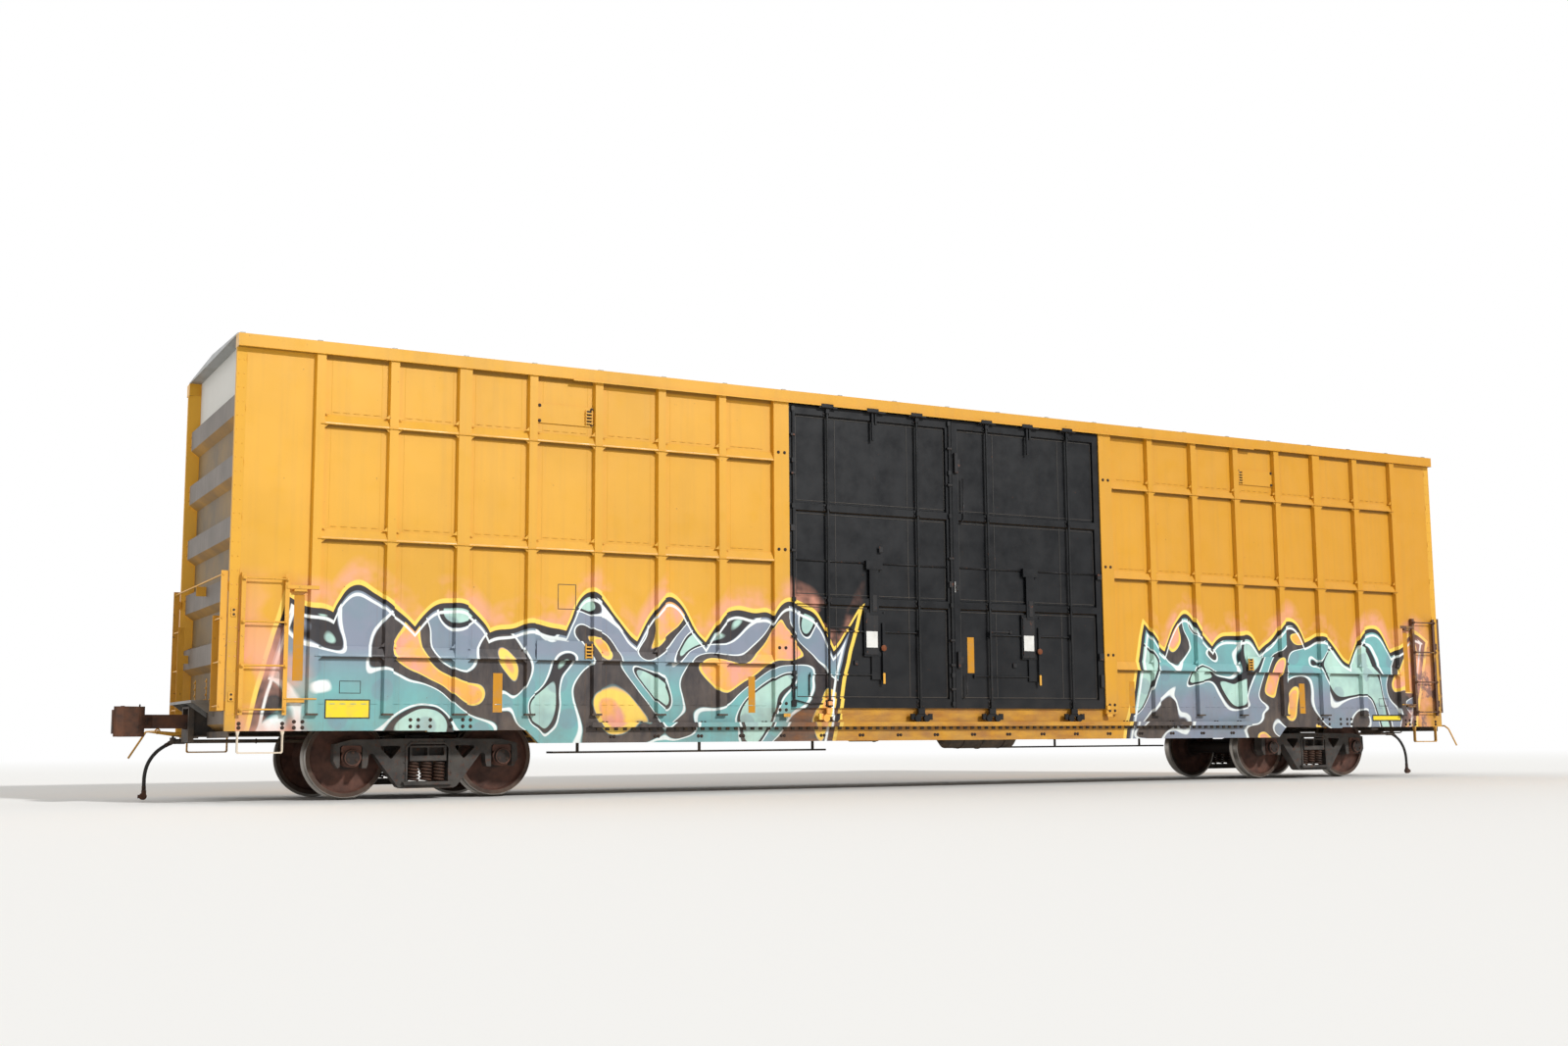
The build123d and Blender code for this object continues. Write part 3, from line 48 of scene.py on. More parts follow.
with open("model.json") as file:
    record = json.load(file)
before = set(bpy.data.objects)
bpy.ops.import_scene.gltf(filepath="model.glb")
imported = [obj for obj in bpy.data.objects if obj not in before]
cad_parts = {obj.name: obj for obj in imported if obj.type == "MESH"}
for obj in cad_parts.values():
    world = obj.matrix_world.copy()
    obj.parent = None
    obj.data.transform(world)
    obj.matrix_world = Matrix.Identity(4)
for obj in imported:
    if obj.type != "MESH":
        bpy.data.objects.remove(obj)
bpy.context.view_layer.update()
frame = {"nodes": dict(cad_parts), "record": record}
NODES = frame["nodes"]

# Places on the car, in metres
TRUCK_X = 7.0485
AXLE_OFFSET = 0.889
AXLE_Z = 0.4826
POST_FIRST = 3.485
POST_PITCH = 0.8375
POSTS = [POST_FIRST + POST_PITCH * number for number in range(7)]
WIDE_POST = POSTS[4]
LIPS = (1.5954, 2.8934, 4.1834)
EAVE = 4.960
RUNGS = (1.0104, 1.4824, 1.9544, 2.4264)
LADDER_RAILS = (8.816, 9.274)
RIB_TOPS = (4.4954, 3.8154, 3.1354, 2.4554, 1.7754)
DOOR_MIDDLES = (-1.2675, 1.2675)
ROD_X = [middle + side * 0.695 for middle in DOOR_MIDDLES for side in (-1, 1)]
ROD_STRAPS = (1.105, 2.4204, 3.6254, 4.8914)
HAND_BRAKE_Y = -0.735
BRAKE_LEVER_X = 0.337

# Faces that fittings stand on, a hair outside the frame's own
SHEET = -1.5402
SHEET_BOLT = -1.541
DOOR_SKIN = -1.5484
DOOR_RIM = -1.5804
ROD_STRAP = -1.5850
DOOR_POST = -1.6002
LADDER_RUNG = -1.6225
END_RIB = 9.3762
END_POST = 9.4202

# Middle and half the length of the painted band left and right of the doors
ART_LEFT = (-5.71, 3.65)
ART_RIGHT = (5.70, 2.92)

# Air hose at the brake pipe's end: the same route as the frame's tube
HOSE_ROUTE = [(9.680, -0.330, 0.654), (9.775, -0.330, 0.599), (9.852, -0.331, 0.520), (9.907, -0.334, 0.425),
              (9.933, -0.338, 0.318), (9.937, -0.341, 0.208), (9.933, -0.343, 0.128)]
HOSE_DIAMETER = 0.042

# Bolt heads of the end fittings against those of the sides
SMALL_HEAD = 0.8

# The camera that was fitted to the photograph: place in metres, then turns in degrees
CAMERA_PLACE = (-12.972, -20.359, 0.6528)
CAMERA_TURNS = (28.9042, 7.279, -0.4069)
CAMERA_LENS = 38.87

# Ways that a fitting points
OUT = (0.0, -1.0, 0.0)
ALONG = (1.0, 0.0, 0.0)
UP = (0.0, 0.0, 1.0)

# Signs of x and y for copies: none, both sides, the car turned half round, and all four corners
AS_IS = ((1, 1),)
BOTH_SIDES = ((1, 1), (1, -1))
TURNED = ((1, 1), (-1, -1))
CORNERS = ((1, 1), (-1, 1), (1, -1), (-1, -1))


# Colours and nodes

def linear(code):
    """Linear colour with full alpha for an sRGB hex value."""
    parts = [int(code[i:i + 2], 16) / 255 for i in (1, 3, 5)]
    return tuple(c / 12.92 if c <= 0.04045 else ((c + 0.055) / 1.055) ** 2.4 for c in parts) + (1.0,)


def shaded(colour, red, green, blue):
    """The colour with each of its parts scaled by a share."""
    return tuple(part * share for part, share in zip(colour, (red, green, blue))) + (1.0,)


def feed(tree, node, inputs):
    """Sets or links a node's inputs. A list gives one input several links."""
    for key, value in inputs.items():
        for one in value if isinstance(value, list) else [value]:
            if isinstance(one, bpy.types.NodeSocket):
                tree.links.new(one, node.inputs[key])
            else:
                node.inputs[key].default_value = one


def add(tree, kind, *values, out=0, **settings):
    """Adds a node with its settings, and values or links for its inputs, in order or in a dictionary.

    Returns one of its outputs, or all of them when out is None.
    """
    node = tree.nodes.new(kind if "Node" in kind else "ShaderNode" + kind)
    for name, value in settings.items():
        setattr(node, name, value)
    named = values and isinstance(values[0], dict)
    feed(tree, node, values[0] if named else dict(enumerate(values)))
    return node.outputs if out is None else node.outputs[out]


def layered(tree, base, *coats):
    """Lays coats over a base in turn: each is a colour and the shares that limit it, multiplied together."""
    for colour, share, *limits in coats:
        for limit in limits:
            share = add(tree, "Math", share, limit, operation="MULTIPLY")
        base = add(tree, "Mix", {0: share, 6: base, 7: colour}, out=2, data_type="RGBA")
    return base


def band(tree, value, low, high, soft=0.006):
    """One between two limits, nothing outside, with short soft edges."""
    rise = add(tree, "MapRange", value, low - soft, low + soft)
    fall = add(tree, "MapRange", value, high - soft, high + soft, 1.0, 0.0)
    return add(tree, "Math", rise, fall, operation="MULTIPLY")


def noise(tree, place, scale, detail, rough, start, end, stretch=None):
    """Cloudy share: a noise texture spread between two limits, on the place scaled along each axis."""
    if stretch:
        place = add(tree, "VectorMath", place, stretch, operation="MULTIPLY")
    cloud = add(tree, "TexNoise", {"Vector": place, "Scale": scale, "Detail": detail, "Roughness": rough})
    return add(tree, "MapRange", cloud, start, end)


def facing_up(tree):
    """How far a face looks up, from -1 to 1."""
    return add(tree, "SeparateXYZ", add(tree, "TexCoord", out="Normal"), out=2)


def begin(name):
    """A new material with its tree, shader and object coordinates."""
    material = bpy.data.materials.new(name)
    material.use_nodes = True
    tree = material.node_tree
    return material, tree, tree.nodes["Principled BSDF"], add(tree, "TexCoord", out="Object")


# Materials

def swirls(tree, flat, under, colours, low, high, middle, half):
    """Flowing painted shapes under a cloud-shaped outline: one colour at the foot and another at the top,
    with dark shadow bands, white edge lines, grey discs and warm gaps."""
    across, up, _ = add(tree, "SeparateXYZ", flat, out=None)
    arch = add(tree, "Math", across, 3.4, operation="MULTIPLY")
    arch = add(tree, "Math", arch, operation="SINE")
    arch = add(tree, "Math", arch, operation="ABSOLUTE")
    drift = noise(tree, flat, 1.0, 1.0, 0.5, 0.3, 0.7, (0.9, 0.0, 0.0))
    top = add(tree, "Math", arch, 0.34, 1.62, operation="MULTIPLY_ADD")
    top = add(tree, "Math", drift, 0.62, top, operation="MULTIPLY_ADD")
    above = add(tree, "Math", top, up, operation="SUBTRACT")
    lean = add(tree, "Math", up, -0.25, across, operation="MULTIPLY_ADD")
    lean = add(tree, "Math", lean, middle, operation="SUBTRACT")
    lean = add(tree, "Math", lean, operation="ABSOLUTE")
    side = add(tree, "Math", half, lean, operation="SUBTRACT")
    gap = add(tree, "Math", above, side, operation="MINIMUM")
    flow = add(tree, "TexNoise", {"Vector": flat, "Scale": 0.95, "Detail": 0.6, "Distortion": 0.7})
    discs = add(tree, "TexVoronoi", {"Vector": flat, "Scale": 1.7}, voronoi_dimensions="2D")
    white = linear("#EFF6F4")
    rim = linear("#FFD75E")
    smoke = noise(tree, flat, 9.0, 4.0, 0.6, 0.3, 0.8, (1.0, 0.3, 1.0))
    shadow = layered(tree, colours.mural_line, (linear("#5C514C"), smoke))
    blush = noise(tree, flat, 2.6, 3.0, 0.6, 0.4, 0.6)
    warm = layered(tree, linear("#F4B24A"), (colours.mural_halo, blush))
    fill = layered(
        tree, low,
        (high, add(tree, "MapRange", up, 1.20, 1.70)),
        (linear("#B9DDD0"), add(tree, "MapRange", flow, 0.41, 0.40)),
        (linear("#6F8F98"), noise(tree, flat, 1.8, 3.0, 0.6, 0.45, 0.95)),
        (linear("#7C8A9C"), band(tree, discs, -1.0, 0.20, 0.02), 0.4),
        (white, band(tree, flow, 0.415, 0.428, 0.002)),
        (colours.mural_line, band(tree, flow, 0.388, 0.412, 0.002)),
        (white, band(tree, flow, 0.553, 0.566, 0.002)),
        (shadow, band(tree, flow, 0.568, 0.640, 0.002)),
        (warm, add(tree, "MapRange", flow, 0.640, 0.643)),
        (rim, band(tree, flow, 0.642, 0.654, 0.002)),
        (white, band(tree, gap, 0.085, 0.12)),
        (colours.mural_line, band(tree, gap, -1.0, 0.062)))
    behind = layered(
        tree, under,
        (colours.mural_halo, band(tree, above, -0.26, 0.2, 0.10), noise(tree, flat, 1.9, 3.0, 0.6, 0.42, 0.6),
         add(tree, "MapRange", side, -0.05, 0.25), 0.7),
        (rim, band(tree, gap, -0.055, 0.0)))
    return layered(tree, behind, (fill, add(tree, "MapRange", gap, -0.004, 0.004)))


def painted_art(tree, place, under, colours):
    """Spray-painted abstract band on the camera's side: grey over teal left of the doors, the other way round
    at their right."""
    wobble = add(tree, "TexNoise", {"Vector": place, "Scale": 1.1, "Detail": 2.0}, out="Color")
    shift = add(tree, "VectorMath", wobble, (0.5, 0.5, 0.5), operation="SUBTRACT")
    shift = add(tree, "VectorMath", {0: shift, "Scale": 0.16}, operation="SCALE")
    bent = add(tree, "VectorMath", place, shift, operation="ADD")
    across, _, up = add(tree, "SeparateXYZ", bent, out=None)
    flat = add(tree, "CombineXYZ", across, up)
    x, y, _ = add(tree, "SeparateXYZ", place, out=None)
    left = swirls(tree, flat, under, colours, colours.mural_low, colours.mural_high, *ART_LEFT)
    right = swirls(tree, flat, under, colours, colours.mural_high, colours.mural_low, *ART_RIGHT)
    art = layered(tree, left, (right, add(tree, "Math", x, 0.0, operation="GREATER_THAN")))
    return layered(tree, under, (art, add(tree, "Math", y, -1.5, operation="LESS_THAN")))


def side_marks(tree, place, base, colours):
    """Marks of the side sheets: creases beside the posts darkened with painted shade, painted shadow
    under the ledges, a rust wash on the sill below the doors and stray spray at the corners. Returns the
    colour and the creases' share."""
    x, y, z = add(tree, "SeparateXYZ", place, out=None)
    along = add(tree, "Math", x, operation="ABSOLUTE")
    sheet = add(tree, "Math", y, operation="ABSOLUTE")
    sheet = add(tree, "Math", sheet, 1.545, operation="LESS_THAN")
    bay = add(tree, "Math", along, POST_FIRST, operation="SUBTRACT")
    bay = add(tree, "Math", bay, POST_PITCH, operation="DIVIDE")
    bay = add(tree, "Math", bay, 0.5, operation="PINGPONG")
    # the creases dent the sheet, and their darker colour is painted shade
    crease_and_shade = band(tree, bay, 0.157, 0.161, 0.002)
    for limit in (band(tree, along, 2.80, 8.47), sheet):
        crease_and_shade = add(tree, "Math", crease_and_shade, limit, operation="MULTIPLY")
    ledges = band(tree, along, 2.76, 8.50)
    # painted shadow: a dark brown band just under each ledge and under the eave
    ledge_shadows = [(linear("#4A3212"), ledges, sheet, band(tree, z, ledge - 0.030, ledge + 0.020, 0.012), 0.60)
            for ledge in (*LIPS, EAVE)]
    corner = (add(tree, "MapRange", along, 8.45, 8.80), add(tree, "MapRange", z, 2.6, 1.5),
              add(tree, "Math", y, -1.4, operation="LESS_THAN"))
    return layered(
        tree, base,
        # painted shade along the creases
        (linear("#8A5A14"), crease_and_shade, 0.30),
        *ledge_shadows,
        (linear("#9E5F1E"), noise(tree, place, 2.6, 5.0, 0.65, 0.35, 0.64, (0.7, 1.0, 2.5)),
         add(tree, "Math", z, 1.045, operation="LESS_THAN"),
         add(tree, "MapRange", along, 3.0, 2.2, 0.0, 0.75)),
        (colours.mural_halo, *corner, noise(tree, place, 1.7, 3.0, 0.55, 0.42, 0.58), 0.75),
        (linear("#6C565A"), *corner, add(tree, "Math", x, 0.0, operation="GREATER_THAN"),
         noise(tree, place, 3.1, 4.0, 0.6, 0.53, 0.60), 0.8)), crease_and_shade


def enamel(name, colour, colours, rough=0.42, chips=0.0, dust=0.35, wave=0.0, art=False, side=False,
           fade=False, corners=False, gloss=0.5):
    """Sprayed enamel on steel: faded in soft clouds, with painted shade underneath, streaked by rain, dusty
    low down and chipped to rust."""
    material, tree, shader, place = begin(name)
    x, y, z = add(tree, "SeparateXYZ", place, out=None)
    lighter = tuple(min(1.0, part * 1.04 + 0.006) for part in colour[:3]) + (1.0,)
    clouds = noise(tree, place, 0.55, 4.0, 0.55, 0.32, 0.68)
    base = layered(tree, shaded(colour, 0.90, 0.90, 0.90), (lighter, clouds))
    if fade:
        deeper = add(tree, "MapRange", x, -7.5, 9.4, 0.0, 0.9)
        base = layered(tree, base, (shaded(colour, 0.85, 0.75, 0.48), deeper))
    if art:
        base = painted_art(tree, place, base, colours)
    if side:
        base, crease_and_shade = side_marks(tree, place, base, colours)
    streaks = noise(tree, place, 1.0, 5.0, 0.6, 0.48, 0.80, (9.0, 9.0, 0.35))
    streaks = add(tree, "MapRange", streaks, 0.0, 1.0, 0.0, 0.30 * dust)
    low = add(tree, "MapRange", z, 1.55, 0.70, 0.0, dust)
    grit = noise(tree, place, 3.2, 6.0, 0.62, 0.35, 0.72)
    base = layered(
        tree, base,
        # painted shade: faces that look down are darkened
        (linear("#3A2A16"), add(tree, "MapRange", facing_up(tree), -0.5, -0.9, 0.0, 0.6)),
        (colours.dust, add(tree, "Math", low, grit, streaks, operation="MULTIPLY_ADD")))
    if chips:
        start = 0.70 - 0.16 * chips
        base = layered(tree, base, (colours.rust, noise(tree, place, 17.0, 7.0, 0.7, start, start + 0.04)))
    if corners:
        near = add(tree, "Math", y, -1.4, operation="LESS_THAN")
        base = layered(
            tree, base,
            (linear("#4B3130"), near, add(tree, "Math", x, 8.5, operation="GREATER_THAN"),
             add(tree, "MapRange", z, 0.85, 0.95, 0.25, 0.92), noise(tree, place, 5.0, 4.0, 0.6, 0.25, 0.45)),
            (linear("#D9D2C4"), near, add(tree, "Math", x, -8.5, operation="LESS_THAN"),
             add(tree, "MapRange", z, 0.84, 0.76, 0.0, 0.8)))
    grain = noise(tree, place, 60.0, 2.0, 0.6, 0.0, 1.0)
    skin = add(tree, "Bump", {"Strength": 0.10, "Distance": 0.0015, "Height": grain})
    if wave:
        swell = noise(tree, place, 1.9, 1.5, 0.4, 0.0, 1.0, (1.0, 1.0, 0.55))
        skin = add(tree, "Bump", {"Strength": 0.8, "Distance": wave, "Height": swell, "Normal": skin})
    if side:
        skin = add(tree, "Bump", {"Strength": 0.6, "Distance": -0.0015, "Height": crease_and_shade, "Normal": skin})
    worn = add(tree, "MapRange", grit, 0.0, 1.0, rough - 0.05, rough + 0.16)
    feed(tree, shader, {"Base Color": base, "Roughness": worn, "Specular IOR Level": gloss, "Normal": skin})
    return material


def end_paint(colours):
    """Pressed ends in road grime: grey rib faces darkened further with painted shade, yellow left under
    the ribs, pale above the top rib.
    """
    material, tree, shader, place = begin("grimed_enamel_on_pressed_steel")
    x, y, z = add(tree, "SeparateXYZ", place, out=None)
    grime = noise(tree, place, 1.4, 6.0, 0.62, 0.34, 0.68)
    fine = noise(tree, place, 2.0, 5.0, 0.6, 0.42, 0.75, (1.0, 6.0, 0.8))
    # the rib faces' grey is grime, made darker still with painted shade
    face = layered(tree, colours.end_grey, (linear("#655E58"), grime), (linear("#5F5347"), fine, 0.4))
    recess = layered(tree, linear("#8A6C36"), (linear("#62543D"), grime))
    under = layered(tree, linear("#A97C2C"), (linear("#7A5C2C"), grime))
    along = add(tree, "Math", x, operation="ABSOLUTE")
    across = add(tree, "Math", y, operation="ABSOLUTE")
    base = layered(
        tree, recess,
        (face, add(tree, "MapRange", along, 9.30, 9.37)),
        (under, add(tree, "MapRange", facing_up(tree), -0.15, -0.45)),
        (linear("#D9D7D0"), add(tree, "MapRange", z, 4.53, 4.56)),
        (colours.body_yellow, add(tree, "MapRange", across, 1.408, 1.414)),
        (colours.dust, add(tree, "MapRange", z, 2.2, 0.8, 0.1, 0.6), grime))
    dents = noise(tree, place, 2.2, 2.0, 0.6, 0.0, 1.0)
    skin = add(tree, "Bump", {"Strength": 0.6, "Distance": 0.006, "Height": dents})
    feed(tree, shader, {"Base Color": base, "Roughness": 0.62, "Normal": skin})
    return material


def cast_steel(name, pale, dark, scale=26.0, depth=0.0015):
    """Sand-cast steel left bare: brown rust in patches over a grainy skin, dusty where it lies flat."""
    material, tree, shader, place = begin(name)
    patches = noise(tree, place, 5.0, 7.0, 0.65, 0.33, 0.68)
    base = layered(
        tree, linear(dark),
        (linear(pale), patches),
        (linear("#5E3520"), noise(tree, place, 19.0, 5.0, 0.7, 0.56, 0.72)),
        (linear("#6B5A4B"), add(tree, "MapRange", facing_up(tree), 0.25, 0.95, 0.0, 0.5)))
    grain = noise(tree, place, scale, 5.0, 0.6, 0.0, 1.0)
    skin = add(tree, "Bump", {"Strength": 0.7, "Distance": depth, "Height": grain})
    worn = add(tree, "MapRange", patches, 0.0, 1.0, 0.60, 0.84)
    feed(tree, shader, {"Base Color": base, "Roughness": worn, "Metallic": 0.25, "Normal": skin})
    return material


def wheel_steel():
    """Forged wheel steel: rust-brown plates, a rolled bright tread and a brighter edge round the rim."""
    material, tree, shader, place = begin("rolled_wheel_steel")
    along, _, z = add(tree, "SeparateXYZ", place, out=None)
    for middle in (0.0, TRUCK_X, AXLE_OFFSET):
        along = add(tree, "Math", along, middle, operation="SUBTRACT")
        along = add(tree, "Math", along, operation="ABSOLUTE")
    spoke = add(tree, "CombineXYZ", along, add(tree, "Math", z, AXLE_Z, operation="SUBTRACT"))
    radius = add(tree, "VectorMath", spoke, out="Value", operation="LENGTH")
    patches = noise(tree, place, 7.0, 7.0, 0.62, 0.34, 0.66)
    rim = layered(tree, linear("#3E2E26"), (linear("#5D4A3D"), patches))
    tread = add(tree, "MapRange", radius, 0.4485, 0.4520)
    base = layered(
        tree, linear("#422B23"),
        (linear("#6B4638"), patches),
        (linear("#261C17"), add(tree, "MapRange", radius, 0.17, 0.12)),
        (rim, add(tree, "MapRange", radius, 0.400, 0.412)),
        (linear("#A8A39D"), tread))
    grain = noise(tree, place, 30.0, 4.0, 0.6, 0.0, 1.0)
    feed(tree, shader, {"Base Color": base, "Metallic": add(tree, "MapRange", tread, 0.0, 1.0, 0.05, 0.9),
                        "Roughness": add(tree, "MapRange", tread, 0.0, 1.0, 0.75, 0.34),
                        "Normal": add(tree, "Bump", {"Strength": 0.35, "Distance": 0.001, "Height": grain})})
    return material


def galvanised(name, colour, scale=7.0):
    """Hot-dip galvanised sheet: a dull grey spangle of flat crystals with darker run-off."""
    material, tree, shader, place = begin(name)
    spangle = add(tree, "TexVoronoi", {"Vector": place, "Scale": scale}, out="Color")
    tone = add(tree, "SeparateXYZ", spangle)
    base = layered(
        tree, shaded(colour, 0.78, 0.78, 0.78),
        (colour, tone),
        (linear("#8A8378"), noise(tree, place, 1.1, 6.0, 0.6, 0.40, 0.74)),
        (linear("#80583A"), noise(tree, place, 2.6, 7.0, 0.7, 0.62, 0.72, (1.0, 0.5, 1.0)), 0.6))
    worn = add(tree, "MapRange", tone, 0.0, 1.0, 0.42, 0.62)
    feed(tree, shader, {"Base Color": base, "Roughness": worn, "Metallic": 0.55})
    return material


def oak_deck():
    """Oak floor boards laid across the car, worn grey-brown, with dark joints."""
    material, tree, shader, place = begin("oak_floor_boards")
    board = add(tree, "Math", add(tree, "SeparateXYZ", place), 0.15, operation="DIVIDE")
    number = add(tree, "Math", board, operation="FLOOR")
    tone = add(tree, "TexWhiteNoise", {"W": number}, noise_dimensions="1D")
    grain = noise(tree, place, 1.0, 6.0, 0.6, 0.2, 0.8, (40.0, 2.0, 40.0))
    joint = add(tree, "Math", board, 1.0, operation="PINGPONG")
    base = layered(
        tree, linear("#5E4A31"),
        (linear("#A4865C"), tone, grain),
        (linear("#241B12"), add(tree, "MapRange", joint, 0.0, 0.04, 1.0, 0.0)))
    skin = add(tree, "Bump", {"Strength": 0.4, "Distance": 0.001, "Height": grain})
    feed(tree, shader, {"Base Color": base, "Roughness": 0.7, "Normal": skin})
    return material


def hose_rubber():
    """Black EPDM hose: matt, slightly grey with dust, with the wrap marks of its cloth mould."""
    material, tree, shader, place = begin("wrapped_epdm_rubber")
    base = layered(tree, linear("#151515"), (linear("#3A3734"), noise(tree, place, 14.0, 5.0, 0.6, 0.3, 0.7)))
    wraps = {"Vector": place, "Scale": 45.0, "Distortion": 0.6}
    wraps = add(tree, "TexWave", wraps, out=1, bands_direction="Z")
    skin = add(tree, "Bump", {"Strength": 0.3, "Distance": 0.0008, "Height": wraps})
    feed(tree, shader, {"Base Color": base, "Roughness": 0.68, "Normal": skin})
    return material


def plain_film(name, colour, rough):
    """Plain film or enamel on a small plate: one clean colour under light dust."""
    material, tree, shader, place = begin(name)
    dust = noise(tree, place, 9.0, 5.0, 0.6, 0.45, 0.8)
    base = layered(tree, colour, (linear("#8C8377"), dust, 0.3))
    feed(tree, shader, {"Base Color": base, "Roughness": rough})
    return material


def studio_floor():
    """Pale matt floor that fades to plain white far from the car, as seen by the camera."""
    material, tree, shader, place = begin("pale_floor_paint")
    tree.nodes.remove(shader)
    matt = add(tree, "BsdfDiffuse", {"Color": linear("#F3F2EF")})
    glow = add(tree, "Emission", {"Color": (1.0, 1.0, 1.0, 1.0), "Strength": 1.0})
    distance = add(tree, "VectorMath", place, out="Value", operation="LENGTH")
    far = add(tree, "MapRange", distance, 16.0, 60.0, interpolation_type="SMOOTHSTEP")
    seen = add(tree, "LightPath", out="Is Camera Ray")
    share = add(tree, "Math", far, seen, operation="MULTIPLY")
    feed(tree, tree.nodes["Material Output"], {"Surface": add(tree, "MixShader", share, matt, glow)})
    return material


# Shapes

def piece(name, mesh, material, body="carbody", replaces=()):
    """An object at the origin with one material, riding on a body."""
    thing = bpy.data.objects.new(name, mesh)
    bpy.context.scene.collection.objects.link(thing)
    mesh.materials.clear()
    mesh.materials.append(bpy.data.materials[material])
    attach(thing, body)
    if replaces:
        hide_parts(*replaces)


def from_form(name, form):
    """A mesh from a bmesh, with its faces pointing outwards."""
    bmesh.ops.recalc_face_normals(form, faces=form.faces)
    mesh = bpy.data.meshes.new(name)
    form.to_mesh(mesh)
    form.free()
    return mesh


def plain_mesh(holder):
    """The plain mesh of an object's curve or modifiers. The object is removed."""
    graph = bpy.context.evaluated_depsgraph_get()
    mesh = bpy.data.meshes.new_from_object(holder.evaluated_get(graph), depsgraph=graph)
    holder.modifiers.clear()
    bpy.data.objects.remove(holder)
    return mesh


def signed(rows, signs):
    """Copies of the rows of points, with x and y multiplied by each pair of signs."""
    return [tuple((x * sx, y * sy, z) for x, y, z in row) for sx, sy in signs for row in rows]


def raised(face, *rows):
    """Boxes on a side's face, each from its span along the car, its span of heights and its outer face."""
    return [((x0, face, z0), (x1, outer, z1)) for x0, x1, z0, z1, outer in rows]


def outline(x0, x1, z0, z1, face, outer, width, lap):
    """Four bars round a rectangle on a side's face. The upright ones stop short of its corners by the lap."""
    return raised(face, (x0, x1, z0, z0 + width, outer), (x0, x1, z1 - width, z1, outer),
                  (x0, x0 + width, z0 + lap, z1 - lap, outer), (x1 - width, x1, z0 + lap, z1 - lap, outer))


def boxes(name, rows, material, slot, signs=AS_IS, body="carbody", bevel=0.0):
    """One piece made of boxes, each from a pair of opposite corners, with its edges eased."""
    form = bmesh.new()
    for one, other in signed(rows, signs):
        low = [min(pair) for pair in zip(one, other)]
        high = [max(pair) for pair in zip(one, other)]
        corners = [form.verts.new(corner) for corner in product(*zip(low, high))]
        faces = [form.faces.new([corners[i] for i in side]) for side in
                 ((0, 1, 3, 2), (4, 6, 7, 5), (0, 4, 5, 1), (2, 3, 7, 6), (0, 2, 6, 4), (1, 5, 7, 3))]
        if bevel:
            edges = {edge for face in faces for edge in face.edges}
            bmesh.ops.bevel(form, geom=list(edges), offset=bevel, segments=1, affect="EDGES", profile=0.5)
    piece(name, from_form(name, form), material, body)


def gussets(name, rows, depth, material, slot, signs):
    """One piece of flat three-cornered plates, each from its outer corners and as thick as the depth."""
    form = bmesh.new()
    for row in signed(rows, signs):
        outer = [form.verts.new(point) for point in row]
        inner = [form.verts.new((x, y - math.copysign(depth, y), z)) for x, y, z in row]
        form.faces.new(outer)
        form.faces.new(inner[::-1])
        for k in range(3):
            form.faces.new((outer[k - 1], outer[k], inner[k], inner[k - 1]))
    piece(name, from_form(name, form), material)


def eased(route, ease):
    """The route with each inner corner cut to a short run of points round a bend."""
    points = [Vector(route[0])]
    for before, here, after in zip(route, route[1:], route[2:]):
        here = Vector(here)
        back = Vector(before) - here
        ahead = Vector(after) - here
        reach = min(ease, back.length * 0.45, ahead.length * 0.45)
        start = here + back.normalized() * reach
        end = here + ahead.normalized() * reach
        for share in (0.0, 0.33, 0.67, 1.0):
            points.append(start.lerp(here, share).lerp(here.lerp(end, share), share))
    points.append(Vector(route[-1]))
    return points


def rods(name, routes, radius, material, slot, signs=AS_IS, body="carbody", ease=0.03, closed=False, sides=2):
    """One piece made of round bars or pipes bent along routes, with closed ends."""
    curve = bpy.data.curves.new(name, "CURVE")
    curve.dimensions = "3D"
    curve.bevel_depth = radius
    curve.bevel_resolution = sides
    curve.use_fill_caps = True
    for route in signed(routes, signs):
        points = route if closed else eased(route, ease)
        spline = curve.splines.new("POLY")
        spline.points.add(len(points) - 1)
        spline.use_cyclic_u = closed
        for point, place in zip(spline.points, points):
            point.co = (*place, 1.0)
    holder = bpy.data.objects.new(name + "_route", curve)
    bpy.context.scene.collection.objects.link(holder)
    form = bmesh.new()
    form.from_mesh(plain_mesh(holder))
    bmesh.ops.remove_doubles(form, verts=form.verts, dist=0.00002)
    mesh = from_form(name, form)
    for face in mesh.polygons:
        face.use_smooth = True
    piece(name, mesh, material, body)


def ring(centre, radius, axis, count):
    """Points of a circle about an axis."""
    x, y, z = centre
    points = []
    for number in range(count):
        angle = 2 * math.pi * number / count
        u, v = radius * math.cos(angle), radius * math.sin(angle)
        points.append({"x": (x, y + u, z + v), "y": (x + u, y, z + v), "z": (x + u, y + v, z)}[axis])
    return points


def chain(start, end, link=0.045):
    """Closed routes of a chain's links between two points, every second link turned."""
    start, end = Vector(start), Vector(end)
    along = (end - start).normalized()
    side = along.orthogonal().normalized()
    count = max(1, int((end - start).length / (link * 0.72)))
    routes = []
    for number in range(count):
        centre = start.lerp(end, (number + 0.5) / count)
        across = side if number % 2 else along.cross(side)
        routes.append([centre + along * math.cos(a) * link / 2 + across * math.sin(a) * link * 0.30
                       for a in (2 * math.pi * k / 12 for k in range(12))])
    return routes


